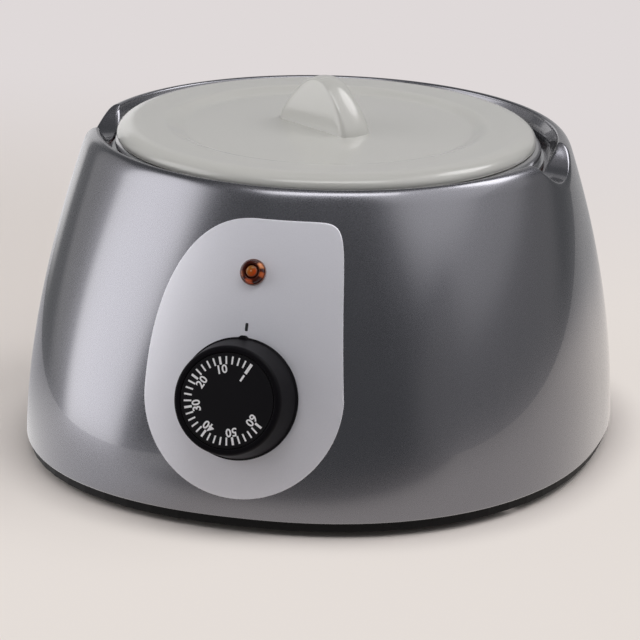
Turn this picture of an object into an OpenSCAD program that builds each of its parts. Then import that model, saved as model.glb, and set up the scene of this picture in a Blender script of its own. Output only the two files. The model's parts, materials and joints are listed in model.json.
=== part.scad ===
// Table-top chocolate melting tank: a lofted casing, a heated well, a lift-out tank and a pinch-grip lid.
// The front is -Y. The origin is on the table, on the axis of the tank.

/* [Casing] */
// How far the lower edge stands out past the rim at each side
flare_w = 18.6; // [10:0.1:40]
// How far the lower edge stands out past the rim at the front and the back
flare_d = 36; // [29:0.1:60]
// Height of the casing from its lower edge to the crest of its rim
casing_h = 125; // [118:1:140]
// Width of the ledge that the well hangs on
ledge_w = 6.2; // [5:0.1:9]
// How far the crest of the rim rolls in from the wall
rim_round = 5.3; // [4:0.1:7]
// Squareness of the lower edge, where 2 is an ellipse
base_power = 2.25; // [2:0.01:2.6]
// How late the side turns in on its way up
flare_power = 1.83; // [1.4:0.01:2.4]
// Thickness of the casing's wall
wall = 3; // [2.4:0.1:4]

/* [Finger scoops] */
// Radius of each finger scoop
scoop_r = 23; // [16:0.5:28]
// Depth of each scoop below the crest, at the outer wall
scoop_depth = 11.5; // [8:0.1:12]
// Distance of the scoops forward of the tank's axis
scoop_forward = 12; // [0:1:20]
// Slope of the scoop's floor, down towards the outside
scoop_slope = 7; // [3:0.5:8]

/* [Tank] */
// Outer radius of the tank's wall under its rim
tank_r = 78; // [66:0.5:92]
// How much narrower the tank is at its floor
tank_taper = 4; // [2:0.5:12]
// Height of the tank's floor above the casing's lower edge
floor_room = 31; // [29:1:50]
// Thickness of the tank's sheet
tank_sheet = 1; // [0.8:0.1:1.4]
// Radius of the tank's rolled edge
tank_curl = 2.4; // [2:0.1:3]
// Radius of the bend between the tank's wall and its floor
tank_bend = 16; // [8:1:24]

/* [Lid] */
// How far the lid's edge lies inside the tank's rolled edge
lid_inset = 1.4; // [0.5:0.1:5]
// Height of the lid's edge
lid_edge = 5.1; // [3.6:0.1:6]
// Width of the raised border round the sunken middle of the lid
lid_border = 23.5; // [14:0.5:32]
// Depth of the sunken middle
lid_dish = 2.2; // [1:0.1:2.6]
// Length of the pinch grip along the lid
grip_l = 42; // [36:0.5:60]
// Height of the pinch grip above the sunken middle
grip_h = 21.5; // [16:0.5:30]
// Thickness of the pinch grip at its top
grip_t = 10; // [8:0.5:16]
// Turn of the pinch grip about the lid's axis
grip_turn = -36; // [-90:1:90]

/* [Control panel] */
// Height of the knob's centre, as a share of the casing's height
knob_share = 0.38; // [0.34:0.002:0.42]
// Outer radius of the knob's skirt
knob_r = 24.2; // [22.5:0.1:26]
// Width of the knob's slope between its face and its skirt
knob_slope_w = 5.2; // [4:0.1:7]
// Height of the knob over its skirt
knob_h = 18.3; // [15:0.1:22]
// Radius of the round lower end of the panel label
label_r = 40.5; // [34:0.5:42]
// How far the label reaches above the pilot lamp
label_over = 19.4; // [12:0.1:22]
// Thickness of the label
label_t = 0.6; // [0.4:0.1:0.8]
// Height of the pilot lamp, as a share of the casing's height
lamp_share = 0.753; // [0.7:0.0002:0.76]
// Radius of the pilot lamp's lens
lamp_r = 4.7; // [4.2:0.1:5.2]

/* [Heater] */
// Play between the tank and the well that it hangs in
tank_play = 1.6; // [1:0.1:3]
// Thickness of the well's sheet
well_sheet = 1.4; // [1:0.1:1.6]
// Thickness of the band heater
heater_t = 2.6; // [2:0.1:3]
// Height of the band heater
heater_h = 36; // [24:1:44]
// Thickness of the insulation round the heater
jacket_t = 7; // [4:0.5:8]

/* [Base] */
// Height of the casing's lower edge above the table
base_gap = 6; // [5:0.5:9]
// Height of the rubber feet below the base plate
foot_h = 2.5; // [2:0.1:4]
// Radius of a rubber foot
foot_r = 9; // [7:0.5:11]
// Number of vent slots in each row
vents = 9; // [5:1:11]

/* [Cable entry] */
// Height of the cable gland above the table
gland_z = 30; // [27:0.5:36]
// Reach of the gland behind the casing
gland_reach = 19.3; // [18:0.1:26]
// Radius of the hole for the cord
cord_hole_r = 3.6; // [3:0.1:4.2]

/* [Hidden] */

// Shared clearances and steps
overrun = 1;
fit = 0.3;
run_fit = 0.05;
screw_fit = 0.1;
$fn = 64;

// Loft of the casing
loft_sides = 72;
wall_rings = 11;
crest_step = 18;
edge_chamfer = 0.8;
crest_rings = 5;
crest_share = 1.26;
crest_pull_share = 0.55;
crest_edge = 1.2;
funnel_taper = 4.9;
rim_z = base_gap + casing_h;
crest_h = rim_round * crest_share;
shoulder_z = rim_z - crest_h;

// Radii from the tank outwards: the well, the ledge, the rim and the lower edge
well_gap = 2.8;
well_r = tank_r + tank_play;
well_out_r = well_r + well_sheet;
ledge_r = well_out_r + well_gap;
funnel_r = ledge_r + ledge_w;
crest_r = funnel_r + funnel_taper + crest_edge;
rim_r = crest_r + rim_round;
base_w = 2 * (rim_r + flare_w);
base_d = 2 * (rim_r + flare_d);

// Seat of the well and the tank under the rim
rim_drop = 4;
gasket_t = 1;
ledge_z = rim_z - rim_drop - tank_curl * 2 - fit - well_sheet - gasket_t;
ledge_t = 3;
collar_drop = 5;
collar_t = 2.5;
tank_rim_fit = 1.2;
tank_top_z = rim_z - rim_drop;
tank_floor_z = base_gap + floor_room;
tank_floor_r = tank_r - tank_taper;

// Lid
well_flange_r = funnel_r - fit;
tank_rim_r = well_flange_r - tank_rim_fit;
lid_r = tank_rim_r - lid_inset;
lid_dish_r = lid_r - lid_border;
lid_z = tank_top_z + fit;
lid_top_z = lid_z + lid_edge;
lid_t = 3;
lid_dome = 1.2;
lid_step = 4;
lid_round_w = 5.6;
lid_round_share = 0.82;
lid_round_h = lid_edge * lid_round_share;
lid_ring_h = 6;
lid_ring_t = 2;
lid_ring_fit = 1.2;
grip_root = 3;
grip_flare_share = 0.58;
grip_dome_power = 4;
grip_step_share = 0.05;
lid_step_share = 0.2;

// Well
well_floor_gap = 1;
well_floor_z = tank_floor_z - tank_sheet - well_floor_gap;
well_bottom_z = well_floor_z - well_sheet;
well_bend = 12;
under_room = well_bottom_z - base_gap;

// Band heater and its insulation
heater_z = well_floor_z + well_bend;
heater_r = well_out_r + run_fit;
heater_out_r = heater_r + heater_t;
heater_split = 8;
heater_turn = 135;
lug_w = 7;
lug_t = 2;
lug_h = 14;
bolt_r = 2;
bolt_head_r = 3.4;
bolt_head_h = 2;
bolt_nut_h = 2;
bolt_past = 2;
jacket_r = heater_out_r + fit;
jacket_out_r = jacket_r + jacket_t;
jacket_lap = 4;
jacket_low_z = heater_z - jacket_lap;
jacket_high_z = heater_z + heater_h + jacket_lap;
jacket_split = 26;
strap_t = 0.6;
strap_h = 6;
strap_shares = [0.25, 0.75];

// Heater terminals: two tabs in ceramic beads beside the split
heater_tab_turns = [110, 160];
heater_bead_r = 3;
heater_bead_h = 4;
heater_tab_w = 6;
heater_tab_t = 0.8;
heater_tab_l = 6;

// Base plate
plate_t = base_gap - foot_h;
plate_inset = 1.6;
lip_t = 2;
lip_h = 6;
lip_fit = 0.4;
post_r = 5;
post_h = 22;
post_sink = 1.5;
post_angles = [38, 142, 218, 322];
base_screw_r = 1.8;
base_screw_head_r = 3.6;
base_screw_head_h = 1.8;
base_screw_l = 16;
foot_x_share = 0.58;
foot_y_share = 0.62;
foot_stem_r = 3;
foot_barb_r = 3.8;
foot_barb_h = 2;
foot_edge = 0.8;
vent_l = 34;
vent_w = 3.2;
vent_pitch = 8.4;
vent_row_share = 0.36;
cup_r = 13;
cup_h = 7.5;
cup_t = 2.4;

// Tie stud that pulls the well down on to the casing
stud_r = 3;
stud_weld_r = 8;
stud_weld_h = 1.2;
washer_r = 9;
washer_t = 1.2;
nut_r = 5.77;
nut_h = 4.6;
stud_past = 1.2;

// Panel: the knob's axis is square to the wall at the knob's height
knob_z = base_gap + knob_share * casing_h;
lamp_z = base_gap + lamp_share * casing_h;
label_rise = lamp_z - knob_z + label_over;
panel_tilt = wall_tilt(knob_z);
lamp_tilt = wall_tilt(lamp_z);
seat_cover = 3.5;
seat_r = knob_r - seat_cover;
seat_sink = 2;
seat_t = 3;
seat_rim = 2.5;
seat_pad_r = seat_r + seat_rim;
label_hole_r = seat_r;
label_glue = 0.08;
label_lean_share = 0.186;
label_square_power = 12;
label_round_power = 2.35;
label_sides = 72;
label_rings = 7;

// Thermostat behind the panel
bracket_end = 6;
bracket_h = 20;
bracket_t = 1.4;
thermo_screw_r = 1.9;
thermo_screw_past = 3;
thermo_screw_l = seat_t + bracket_t + thermo_screw_past;
thermo_head_r = 3.6;
thermo_head_h = 1.5;
thermo_head_gap = 2.9;
thermo_pitch = 2 * (seat_r - thermo_head_r - thermo_head_gap);
bracket_w = thermo_pitch + 2 * bracket_end;
thermo_w = 34;
thermo_h = 34;
thermo_d = 22;
thermo_step = 4;
thermo_step_share = 0.72;
bush_r = 5;
bush_l = 6;
shaft_r = 3;
shaft_flat = 1.4;
shaft_root = 9;
thermo_front = -seat_sink - seat_t - bracket_t;
thermo_back = thermo_front - thermo_d;
tab_w = 6.3;
tab_t = 0.8;
tab_l = 7;
thermo_tab_pitch = 14;

// Knob
knob_gap = 1.6;
knob_lip_h = 1.4;
knob_lip_w = 0.7;
knob_round = 2.2;
knob_face_r = knob_r - knob_slope_w;
knob_shoulder_r = knob_face_r + knob_round;
knob_hollow_t = 2.2;
knob_hub_r = 6;
dial_t = 0.6;
dial_sink = 0.3;
knob_top = knob_gap + knob_h;
knob_floor = knob_top - dial_sink - dial_t;
shaft_end = knob_floor - knob_hollow_t;

// Sensing bulb under the well, its clip and its tube
bulb_r = 3;
bulb_l = 58;
bulb_x_share = 0.05;
bulb_y_share = -0.4774;
bulb_x = bulb_x_share * well_r;
bulb_y = bulb_y_share * well_r;
clip_t = 0.8;
clip_w = 9;
clip_foot = 9;
clip_screw_r = 1.4;
clip_head_r = 2.6;
clip_head_h = 1.4;
clip_screw_l = 3.4;
bulb_z = well_bottom_z - bulb_r - run_fit;
tube_r = 0.8;

// Thermal cut-out under the well
cutout_x_share = -0.3015;
cutout_y_share = 0.4271;
cutout_x = cutout_x_share * well_r;
cutout_y = cutout_y_share * well_r;
cutout_r = 8;
cutout_h = 8;
cutout_flange_l = 31;
cutout_flange_w = 12;
cutout_flange_t = 1;
cutout_pitch = 23.6;
cutout_mid_z = well_bottom_z - cutout_flange_t - cutout_h / 2;

// Pilot lamp
lamp_flange_w = 1.2;
lamp_flange_r = lamp_r + lamp_flange_w;
lamp_flange_h = 1;
lamp_lens_h = 3;
lamp_hole_step = 0.7;
lamp_hole_r = lamp_r - lamp_hole_step;
lamp_body_r = lamp_hole_r - screw_fit;
lamp_body_l = 15;
lamp_pad_w = 3;
lamp_pad_r = lamp_hole_r + lamp_pad_w;
lamp_pad_proud = 0.2;
lamp_pad_t = wall + lamp_pad_proud;
lamp_clip_w = 2.5;
lamp_clip_r = lamp_body_r + lamp_clip_w;
lamp_clip_t = 0.8;
lamp_tab_w = 2.8;
lamp_tab_t = 0.6;
lamp_tab_l = 5;
lamp_tab_gap = 3.4;

// Cable gland at the back
gland_y = half_d(gland_z);
gland_r = 8;
gland_hex_r = 11;
gland_hex_h = 5;
gland_pad_r = 13;
gland_pad_t = 5.8;
gland_pad_proud = 2.2;
gland_thread_l = 13;
gland_nut_r = 10.5;
gland_nut_end_r = 7.2;
gland_nut_cone = 4;
gland_neck_r = 7.4;
gland_cap_t = 3;
gland_neck_l = gland_reach - gland_pad_proud - gland_hex_h - gland_cap_t;
gland_seal_r = 6.2;
gland_seal_l = 8;
gland_bore_play = 1;
gland_bore_r = cord_hole_r + gland_bore_play;
locknut_r = 11;
locknut_h = 3.6;

// Terminal block on the base plate
block_l = 34;
block_w = 17;
block_h = 14;
block_x_share = 0.3667;
block_y_share = 0.662;
block_x = block_x_share * base_w / 2;
block_y = block_y_share * base_d / 2;
block_poles = 3;
block_pole_r = 3.9;
block_pole_gap = 3.2;
block_pitch = 2 * block_pole_r + block_pole_gap;
block_wire_r = 1.9;
block_screw_r = 2.2;
block_screw_h = 5;
block_screw_sink = 1;
block_fix_r = 1.4;
block_fix_head_r = 1.5;
block_fix_head_h = 1.4;
block_rise = 4;

// Earth screw on its own post
earth_x_share = -0.3333;
earth_y_share = 0.6906;
earth_x = earth_x_share * base_w / 2;
earth_y = earth_y_share * base_d / 2;
earth_post_r = 4.5;
earth_post_h = 8;
earth_screw_r = 1.9;
earth_head_r = 3.6;
earth_head_h = 2;
earth_tag_r = 4;
earth_tag_t = 0.8;
earth_tag_w = 3;
earth_tag_l = 9;
earth_tag_turn = -36;
earth_screw_l = 8;

// Wires and the bulb's tube, each from terminal to terminal. Low shares are of the half width, the half
// depth and the room under the well. Wall and jacket shares are an angle, a share of the casing's height
// and a share of the lead
wire_r = 1.1;
wire_sides = 8;
wire_gap = 0.2;
wire_in = 3.5;
wire_lead = 9;
wire_lift = 2;
lamp_lead = 18;
steep_share = 0.9;
block_mouth_z = base_gap + block_h - block_pole_r;
live_shares = [[0.517, 0.403, 0.254], [0.583, 0.144, 0.181], [0.583, -0.216, 0.181], [0.45, -0.547, 0.181],
    [0.233, -0.734, 0.181], [0.083, -0.813, 0.217]];
neutral_shares = [[0.183, 0.475, 0.435], [-0.067, 0.489, 0.435], [-0.2, 0.576, 0.58]];
neutral_jacket_shares = [[110, 0.256, -0.06]];
earth_shares = [[0.267, 0.432, 0.181], [0.05, 0.46, 0.145], [-0.167, 0.583, 0.217]];
heater_shares = [[[-0.083, -0.806, 0.217], [-0.283, -0.662, 0.181],
        [-0.433, -0.403, 0.181], [-0.45, 0, 0.217], [-0.383, 0.201, 0.435], [-0.317, 0.245, 0.797]],
    [[-0.2, 0.36, 0.797], [-0.333, 0.446, 0.507], [-0.583, 0.446, 0.435]]];
heater_jacket_shares = [[154, 0.192, 0.8], [159.4, 0.336, 0.15]];
lamp_wall_shares = [
    [[56, 0.208, 0.8], [35.7, 0.4, 0.8], [11.5, 0.624, 0.9], [-27.1, 0.736, 0.7], [-54.7, 0.736, 1]],
    [[95, 0.144, 1.9], [124, 0.352, 1.1], [155.5, 0.688, 0.8], [194.3, 0.768, 0.8], [232.2, 0.736, 1]]];
tube_shares = [[-0.283, -0.302, 0.797], [-0.367, -0.417, 0.58], [-0.3, -0.576, 0.507],
    [-0.117, -0.705, 0.507], [-0.017, -0.777, 0.3]];
live_route = concat([block_end(2, -1), block_out(2, -1)], low_points(live_shares),
    [thermo_tab_end(1, wire_lead / 2), thermo_tab_end(1, 0)]);
neutral_route = concat([block_end(0, -1), block_out(0, -1)], low_points(neutral_shares),
    jacket_points(neutral_jacket_shares), [heater_tab_end(heater_tab_turns[0])]);
earth_route = concat([block_end(1, -1), block_out(1, -1)], low_points(earth_shares), [earth_tag_end()]);
heater_routes = [
    concat([thermo_tab_end(-1, 0), thermo_tab_end(-1, wire_lead / 2)], low_points(heater_shares[0]),
        [[cutout_x - cutout_r - wire_gap, cutout_y, cutout_mid_z]]),
    concat([[cutout_x, cutout_y + cutout_r + wire_gap, cutout_mid_z]], low_points(heater_shares[1]),
        jacket_points(heater_jacket_shares), [heater_tab_end(heater_tab_turns[1])])];
lamp_routes = [
    concat([block_end(2, 1), block_out(2, 1)], wall_points(lamp_wall_shares[0]),
        [lamp_out(1), lamp_tab_end(1)]),
    concat([block_end(0, 1), block_out(0, 1)], wall_points(lamp_wall_shares[1]),
        [lamp_out(-1), lamp_tab_end(-1)])];
tube_route = concat([[bulb_x - bulb_l / 2 - wire_gap, bulb_y, bulb_z]], low_points(tube_shares),
    [for (drop = [wire_lead, 0])
        panel_point([0, -thermo_h / 2 - wire_gap - drop, thermo_front - thermo_d / 2])]);

// Colours
silver_grey = [0.46, 0.47, 0.50];
pale_grey = [0.76, 0.76, 0.74];
label_grey = [0.72, 0.72, 0.75];
black = [0.08, 0.08, 0.09];
steel = [0.72, 0.73, 0.75];
aluminium = [0.80, 0.81, 0.82];
zinc = [0.65, 0.67, 0.68];
brass = [0.78, 0.64, 0.32];
copper = [0.72, 0.43, 0.28];
amber = [0.95, 0.42, 0.10];
wool = [0.90, 0.87, 0.74];
ceramic = [0.93, 0.92, 0.88];
silicone = [0.62, 0.22, 0.16];

// Side of the casing: a superellipse that turns into a circle under the rim
function turn_in(z) = 1 - pow(max(0, min(1, (z - base_gap) / (shoulder_z - base_gap))), flare_power);
function half_w(z) = rim_r + (base_w / 2 - rim_r) * turn_in(z);
function half_d(z) = rim_r + (base_d / 2 - rim_r) * turn_in(z);
function power(z) = 2 + (base_power - 2) * turn_in(z);
function section_r(turn, z, inset) =
    pow(pow(abs(cos(turn)) / (half_w(z) - inset), power(z))
        + pow(abs(sin(turn)) / (half_d(z) - inset), power(z)), -1 / power(z));
function section(z, inset, sides) =
    [for (i = [0 : sides - 1]) let (t = 360 * i / sides) section_r(t, z, inset) * [cos(t), sin(t)]];
function ring(z, inset) = [for (p = section(z, inset, loft_sides)) [p[0], p[1], z]];
function front_y(x, z, proud) =
    -(half_d(z) + proud) * pow(1 - pow(abs(x) / (half_w(z) + proud), power(z)), 1 / power(z));
function wall_tilt(z) = atan((half_d(z - overrun) - half_d(z + overrun)) / (2 * overrun));

// Points on the panel's and the lamp's axes, and the places where wires end
function tilted_point(p, z, tilt) = [p[0], -half_d(z) - cos(tilt) * p[2] + sin(tilt) * p[1],
    z + sin(tilt) * p[2] + cos(tilt) * p[1]];
function panel_point(p) = tilted_point(p, knob_z, panel_tilt);
function lamp_point(p) = tilted_point(p, lamp_z, lamp_tilt);
function thermo_tab_end(side, drop) = panel_point([side * thermo_tab_pitch / 2,
    -thermo_h / 2 - tab_l - wire_gap - drop, thermo_back + thermo_step + tab_w + tab_t / 2]);
function lamp_tab_end(side) = lamp_point([side * (lamp_tab_gap / 2 + lamp_tab_w / 2 + wire_gap), 0,
    -lamp_body_l - lamp_tab_l / 2]);
function heater_tab_end(turn) =
    round_point(turn, heater_tab_r(), heater_z + heater_h / 2 - heater_tab_w / 2 - wire_gap);
function lamp_out(side) = lamp_tab_end(side) + [side * lamp_lead, 0, 0];
function earth_tag_end() = [earth_x + earth_tag_l * cos(earth_tag_turn),
    earth_y + earth_tag_l * sin(earth_tag_turn), base_gap + earth_post_h + earth_tag_t + wire_r + wire_gap];
function low_points(shares) =
    [for (s = shares) [s[0] * base_w / 2, s[1] * base_d / 2, base_gap + s[2] * under_room]];
function round_point(turn, r, z) = [r * cos(turn), r * sin(turn), z];
function wall_points(shares) = [for (s = shares) let (z = base_gap + s[1] * casing_h)
    round_point(s[0], section_r(s[0], z, wall) - s[2] * wire_lead, z)];
function jacket_points(shares) = [for (s = shares)
    round_point(s[0], heater_tab_r() + s[2] * wire_lead, base_gap + s[1] * casing_h)];
function heater_tab_r() = jacket_out_r + run_fit + strap_t + wire_gap + wire_r;
function block_out(pole, side) = block_end(pole, side) + [0, side * wire_lead, wire_lift];
function block_end(pole, side) = [block_x + (pole - (block_poles - 1) / 2) * block_pitch,
    block_y + side * (block_w / 2 - (side > 0 ? wire_gap + wire_r : wire_in)), block_mouth_z];

// Crest of the rim: it leaves the wall along the wall's own slope and ends level, all at one height
function pulled(s, first, second, last) =
    3 * s * pow(1 - s, 2) * first + 3 * s * s * (1 - s) * second + pow(s, 3) * last;
function wall_lean(turn) = (section_r(turn, shoulder_z - overrun, 0) - rim_r) / overrun;
function crest_in(turn, s) = let (first = crest_pull_share * crest_h * wall_lean(turn))
    pulled(s, first, rim_round - crest_pull_share * (rim_round - first), rim_round);
function crest_ring(s) = [for (i = [0 : loft_sides - 1])
    let (t = 360 * i / loft_sides, r = rim_r - crest_in(t, s))
    [r * cos(t), r * sin(t), shoulder_z + pulled(s, crest_pull_share * crest_h, crest_h, crest_h)]];

// Rings of the casing, up the outside, over the crest and down the inside
function outer_rings() = concat([ring(base_gap, edge_chamfer)],
    [for (i = [0 : wall_rings])
        ring(base_gap + edge_chamfer + (shoulder_z - base_gap - edge_chamfer) * i / wall_rings, 0)],
    [for (i = [1 : crest_rings]) crest_ring(i / crest_rings)]);
function inner_rings() = concat(
    [ring(rim_z - crest_edge * (1 - cos(45)), rim_round + crest_edge * sin(45)),
        ring(rim_z - crest_edge, rim_round + crest_edge),
        ring(ledge_z, rim_r - funnel_r),
        ring(ledge_z, rim_r - ledge_r),
        ring(ledge_z - collar_drop, rim_r - ledge_r),
        ring(ledge_z - collar_drop, rim_r - ledge_r - collar_t),
        ring(ledge_z - ledge_t, rim_r - ledge_r - collar_t),
        ring(ledge_z - ledge_t, wall)],
    [for (i = [wall_rings - 1 : -1 : 0])
        ring(base_gap + (ledge_z - ledge_t - base_gap) * i / wall_rings, wall)]);

// A solid from rings of points that closes both round each ring and from the last ring to the first
module ring_solid(rings) {
    count = len(rings);
    sides = len(rings[0]);
    polyhedron([for (r = rings) each r],
        [for (i = [0 : count - 1], j = [0 : sides - 1])
            let (a = i * sides + j, b = i * sides + (j + 1) % sides,
                c = ((i + 1) % count) * sides + (j + 1) % sides, d = ((i + 1) % count) * sides + j)
            each [[a, d, c], [a, c, b]]]);
}

// A round tube swept along a route, with closed flat ends
function unit(v) = v / norm(v);
function route_way(p, i) = unit(p[min(i + 1, len(p) - 1)] - p[max(i - 1, 0)]);
function side_of(way) = unit(cross(way, abs(way[2]) < steep_share ? [0, 0, 1] : [1, 0, 0]));
module swept_tube(route, r) {
    count = len(route);
    points = [for (i = [0 : count - 1], j = [0 : wire_sides - 1])
        let (way = route_way(route, i), s = side_of(way), n = cross(way, s), t = 360 * j / wire_sides)
        route[i] + r * (cos(t) * s + sin(t) * n)];
    skin = [for (i = [0 : count - 2], j = [0 : wire_sides - 1])
        let (k = (j + 1) % wire_sides, a = i * wire_sides, b = a + wire_sides)
        each [[a + j, b + k, a + k], [a + j, b + j, b + k]]];
    ends = [[for (j = [0 : wire_sides - 1]) j],
        [for (j = [wire_sides - 1 : -1 : 0]) (count - 1) * wire_sides + j]];
    polyhedron(points, concat(skin, ends));
}

// Places: the panel's axis, the lamp's axis, the gland's axis and the screw posts
module on_panel() {
    translate([0, -half_d(knob_z), knob_z]) rotate([90 - panel_tilt, 0, 0]) children();
}
module at_lamp() {
    translate([0, -half_d(lamp_z), lamp_z]) rotate([90 - lamp_tilt, 0, 0]) children();
}
module at_gland() {
    translate([0, gland_y, gland_z]) rotate([-90, 0, 0]) children();
}
module at_posts() {
    for (t = post_angles) {
        r = section_r(t, base_gap, wall) - post_r + post_sink;
        translate([r * cos(t), r * sin(t), 0]) children();
    }
}
module at_feet() {
    for (x = [-1, 1], y = [-1, 1])
        translate([x * foot_x_share * base_w / 2, y * foot_y_share * base_d / 2, 0]) children();
}
module at_thermo_screws() {
    for (x = [-1, 1]) translate([x * thermo_pitch / 2, 0, 0]) children();
}

// A pan-head screw along +Z, with its head's seat at zero
module pan_screw(r, l, head_r, head_h) {
    translate([0, 0, -l]) cylinder(r = r, h = l + head_h / 2);
    cylinder(r = head_r, h = head_h);
}

// Ring between two radii
module tube(r_out, r_in, h) {
    difference() {
        cylinder(r = r_out, h = h);
        translate([0, 0, -overrun]) cylinder(r = r_in, h = h + 2 * overrun);
    }
}

// Finger scoops, one on each side, sloping down towards the outside
module scoop_cut() {
    scoop_l = base_w / 2 - ledge_r;
    for (side = [0, 1]) mirror([side, 0, 0])
        translate([half_w(rim_z - scoop_depth), -scoop_forward, rim_z - scoop_depth + scoop_r])
        rotate([0, 90 + scoop_slope, 0])
        translate([0, 0, -scoop_l / 2]) cylinder(r = scoop_r, h = scoop_l);
}

// Casing: one moulded shell with a rounded rim, a ledge for the well, scoops, pads and screw posts
module casing() {
    color(silver_grey) difference() {
        union() {
            ring_solid(concat(outer_rings(), inner_rings()));
            casing_fixings();
        }
        scoop_cut();
        on_panel() {
            translate([0, 0, -seat_sink]) cylinder(r = seat_r, h = seat_sink + overrun * 2);
            translate([0, 0, -seat_sink - seat_t - overrun]) {
                cylinder(r = bush_r + screw_fit, h = seat_t + 2 * overrun);
                at_thermo_screws() cylinder(r = thermo_screw_r + screw_fit, h = seat_t + 2 * overrun);
            }
        }
        at_lamp() translate([0, 0, -lamp_pad_t - wall]) cylinder(r = lamp_hole_r, h = lamp_pad_t + 3 * wall);
        at_gland() translate([0, 0, -gland_pad_t - wall])
            cylinder(r = gland_r + screw_fit, h = gland_pad_t + 3 * wall);
        at_posts() translate([0, 0, base_gap - overrun])
            cylinder(r = base_screw_r + run_fit, h = base_screw_l + overrun);
    }
}

// Pads and posts moulded inside the casing, kept within its outer skin
module casing_fixings() {
    on_panel() translate([0, 0, -seat_sink - seat_t]) cylinder(r = seat_pad_r, h = seat_t);
    at_lamp() translate([0, 0, -lamp_pad_t]) cylinder(r = lamp_pad_r, h = lamp_pad_t - label_t);
    at_gland() translate([0, 0, -gland_pad_t])
        cylinder(r = gland_pad_r, h = gland_pad_t + gland_pad_proud);
    at_posts() translate([0, 0, base_gap]) cylinder(r = post_r, h = post_h);
}

// Base plate: an inset plinth with a lip inside the casing, vents, and a cup over the tie nut
module base_plate() {
    color(black) difference() {
        union() {
            translate([0, 0, foot_h]) linear_extrude(plate_t)
                polygon(section(base_gap, plate_inset, loft_sides));
            translate([0, 0, base_gap]) linear_extrude(lip_h) difference() {
                polygon(section(base_gap + lip_h, wall + lip_fit, loft_sides));
                polygon(section(base_gap + lip_h, wall + lip_fit + lip_t, loft_sides));
            }
            translate([0, 0, foot_h]) cylinder(r = cup_r + cup_t, h = cup_h + cup_t);
            translate([earth_x, earth_y, base_gap]) cylinder(r = earth_post_r, h = earth_post_h);
        }
        translate([0, 0, foot_h - overrun]) {
            cylinder(r = cup_r, h = cup_h + overrun);
            cylinder(r = stud_r + screw_fit, h = cup_h + cup_t + 2 * overrun);
            at_posts() {
                cylinder(r = base_screw_r + screw_fit, h = plate_t + 2 * overrun);
                cylinder(r = base_screw_head_r + screw_fit, h = base_screw_head_h + screw_fit + overrun);
            }
            at_feet() cylinder(r = foot_stem_r + screw_fit, h = plate_t + 2 * overrun);
            vent_rows() vent_slot(plate_t + 2 * overrun);
        }
        at_posts() translate([0, 0, base_gap]) cylinder(r = post_r + lip_fit, h = lip_h + overrun);
        translate([earth_x, earth_y, base_gap + earth_post_h - earth_screw_l])
            cylinder(r = earth_screw_r + run_fit, h = earth_screw_l + overrun);
        block_fixings() translate([0, 0, base_gap - plate_t / 2])
            cylinder(r = block_fix_r + run_fit, h = plate_t);
    }
}
module vent_rows() {
    for (side = [-1, 1], i = [0 : vents - 1])
        translate([(i - (vents - 1) / 2) * vent_pitch, side * vent_row_share * base_d / 2, 0]) children();
}
module vent_slot(h) {
    translate([0, 0, h / 2]) cube([vent_w, vent_l - vent_w, h], center = true);
    for (y = [-1, 1]) translate([0, y * (vent_l - vent_w) / 2, 0]) cylinder(d = vent_w, h = h);
}

// Four push-in rubber feet, each with a barb above the plate
module rubber_feet() {
    color(black) at_feet() rotate_extrude() polygon([[0, 0], [foot_r - foot_edge, 0], [foot_r, foot_edge],
        [foot_r, foot_h], [foot_stem_r, foot_h], [foot_stem_r, base_gap + run_fit],
        [foot_barb_r, base_gap + run_fit], [foot_stem_r, base_gap + foot_barb_h],
        [0, base_gap + foot_barb_h]]);
}

module base_screws() {
    color(zinc) at_posts() translate([0, 0, foot_h + base_screw_head_h]) mirror([0, 0, 1])
        pan_screw(base_screw_r, base_screw_l - base_screw_head_h, base_screw_head_r, base_screw_head_h);
}

// Outline of the label about the knob: a half circle below, one square and one round shoulder above
function label_reach(t) =
    let (power = sin(t) < 0 ? 2 : cos(t) > 0 ? label_square_power : label_round_power,
        rise = sin(t) < 0 ? label_r * cos(panel_tilt) : label_rise)
    pow(pow(abs(cos(t)) / label_r, power) + pow(abs(sin(t)) / rise, power), -1 / power);
function label_lean(x, y) = x > 0 && y > 0 ? 1 - label_lean_share * y / label_rise : 1;
function label_ring(share, proud) = [for (i = [0 : label_sides - 1])
    let (t = 360 * i / label_sides, hole = label_hole_r * norm([cos(t), sin(t) * cos(panel_tilt)]),
        r = hole + (label_reach(t) - hole) * share,
        y = r * sin(t), x = r * cos(t) * label_lean(cos(t), y), z = knob_z + y)
    [x, front_y(x, z, proud), z]];

// Panel label: a thin sheet that follows the wall, with holes for the knob's seat and the lamp
module front_label() {
    shares = [for (i = [0 : label_rings]) i / label_rings];
    color(label_grey) difference() {
        ring_solid(concat([for (s = shares) label_ring(s, label_glue + label_t)],
            [for (i = [label_rings : -1 : 0]) label_ring(shares[i], label_glue)]));
        at_lamp() translate([0, 0, -lamp_pad_t]) cylinder(r = lamp_hole_r + fit, h = 2 * lamp_pad_t);
    }
}

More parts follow.
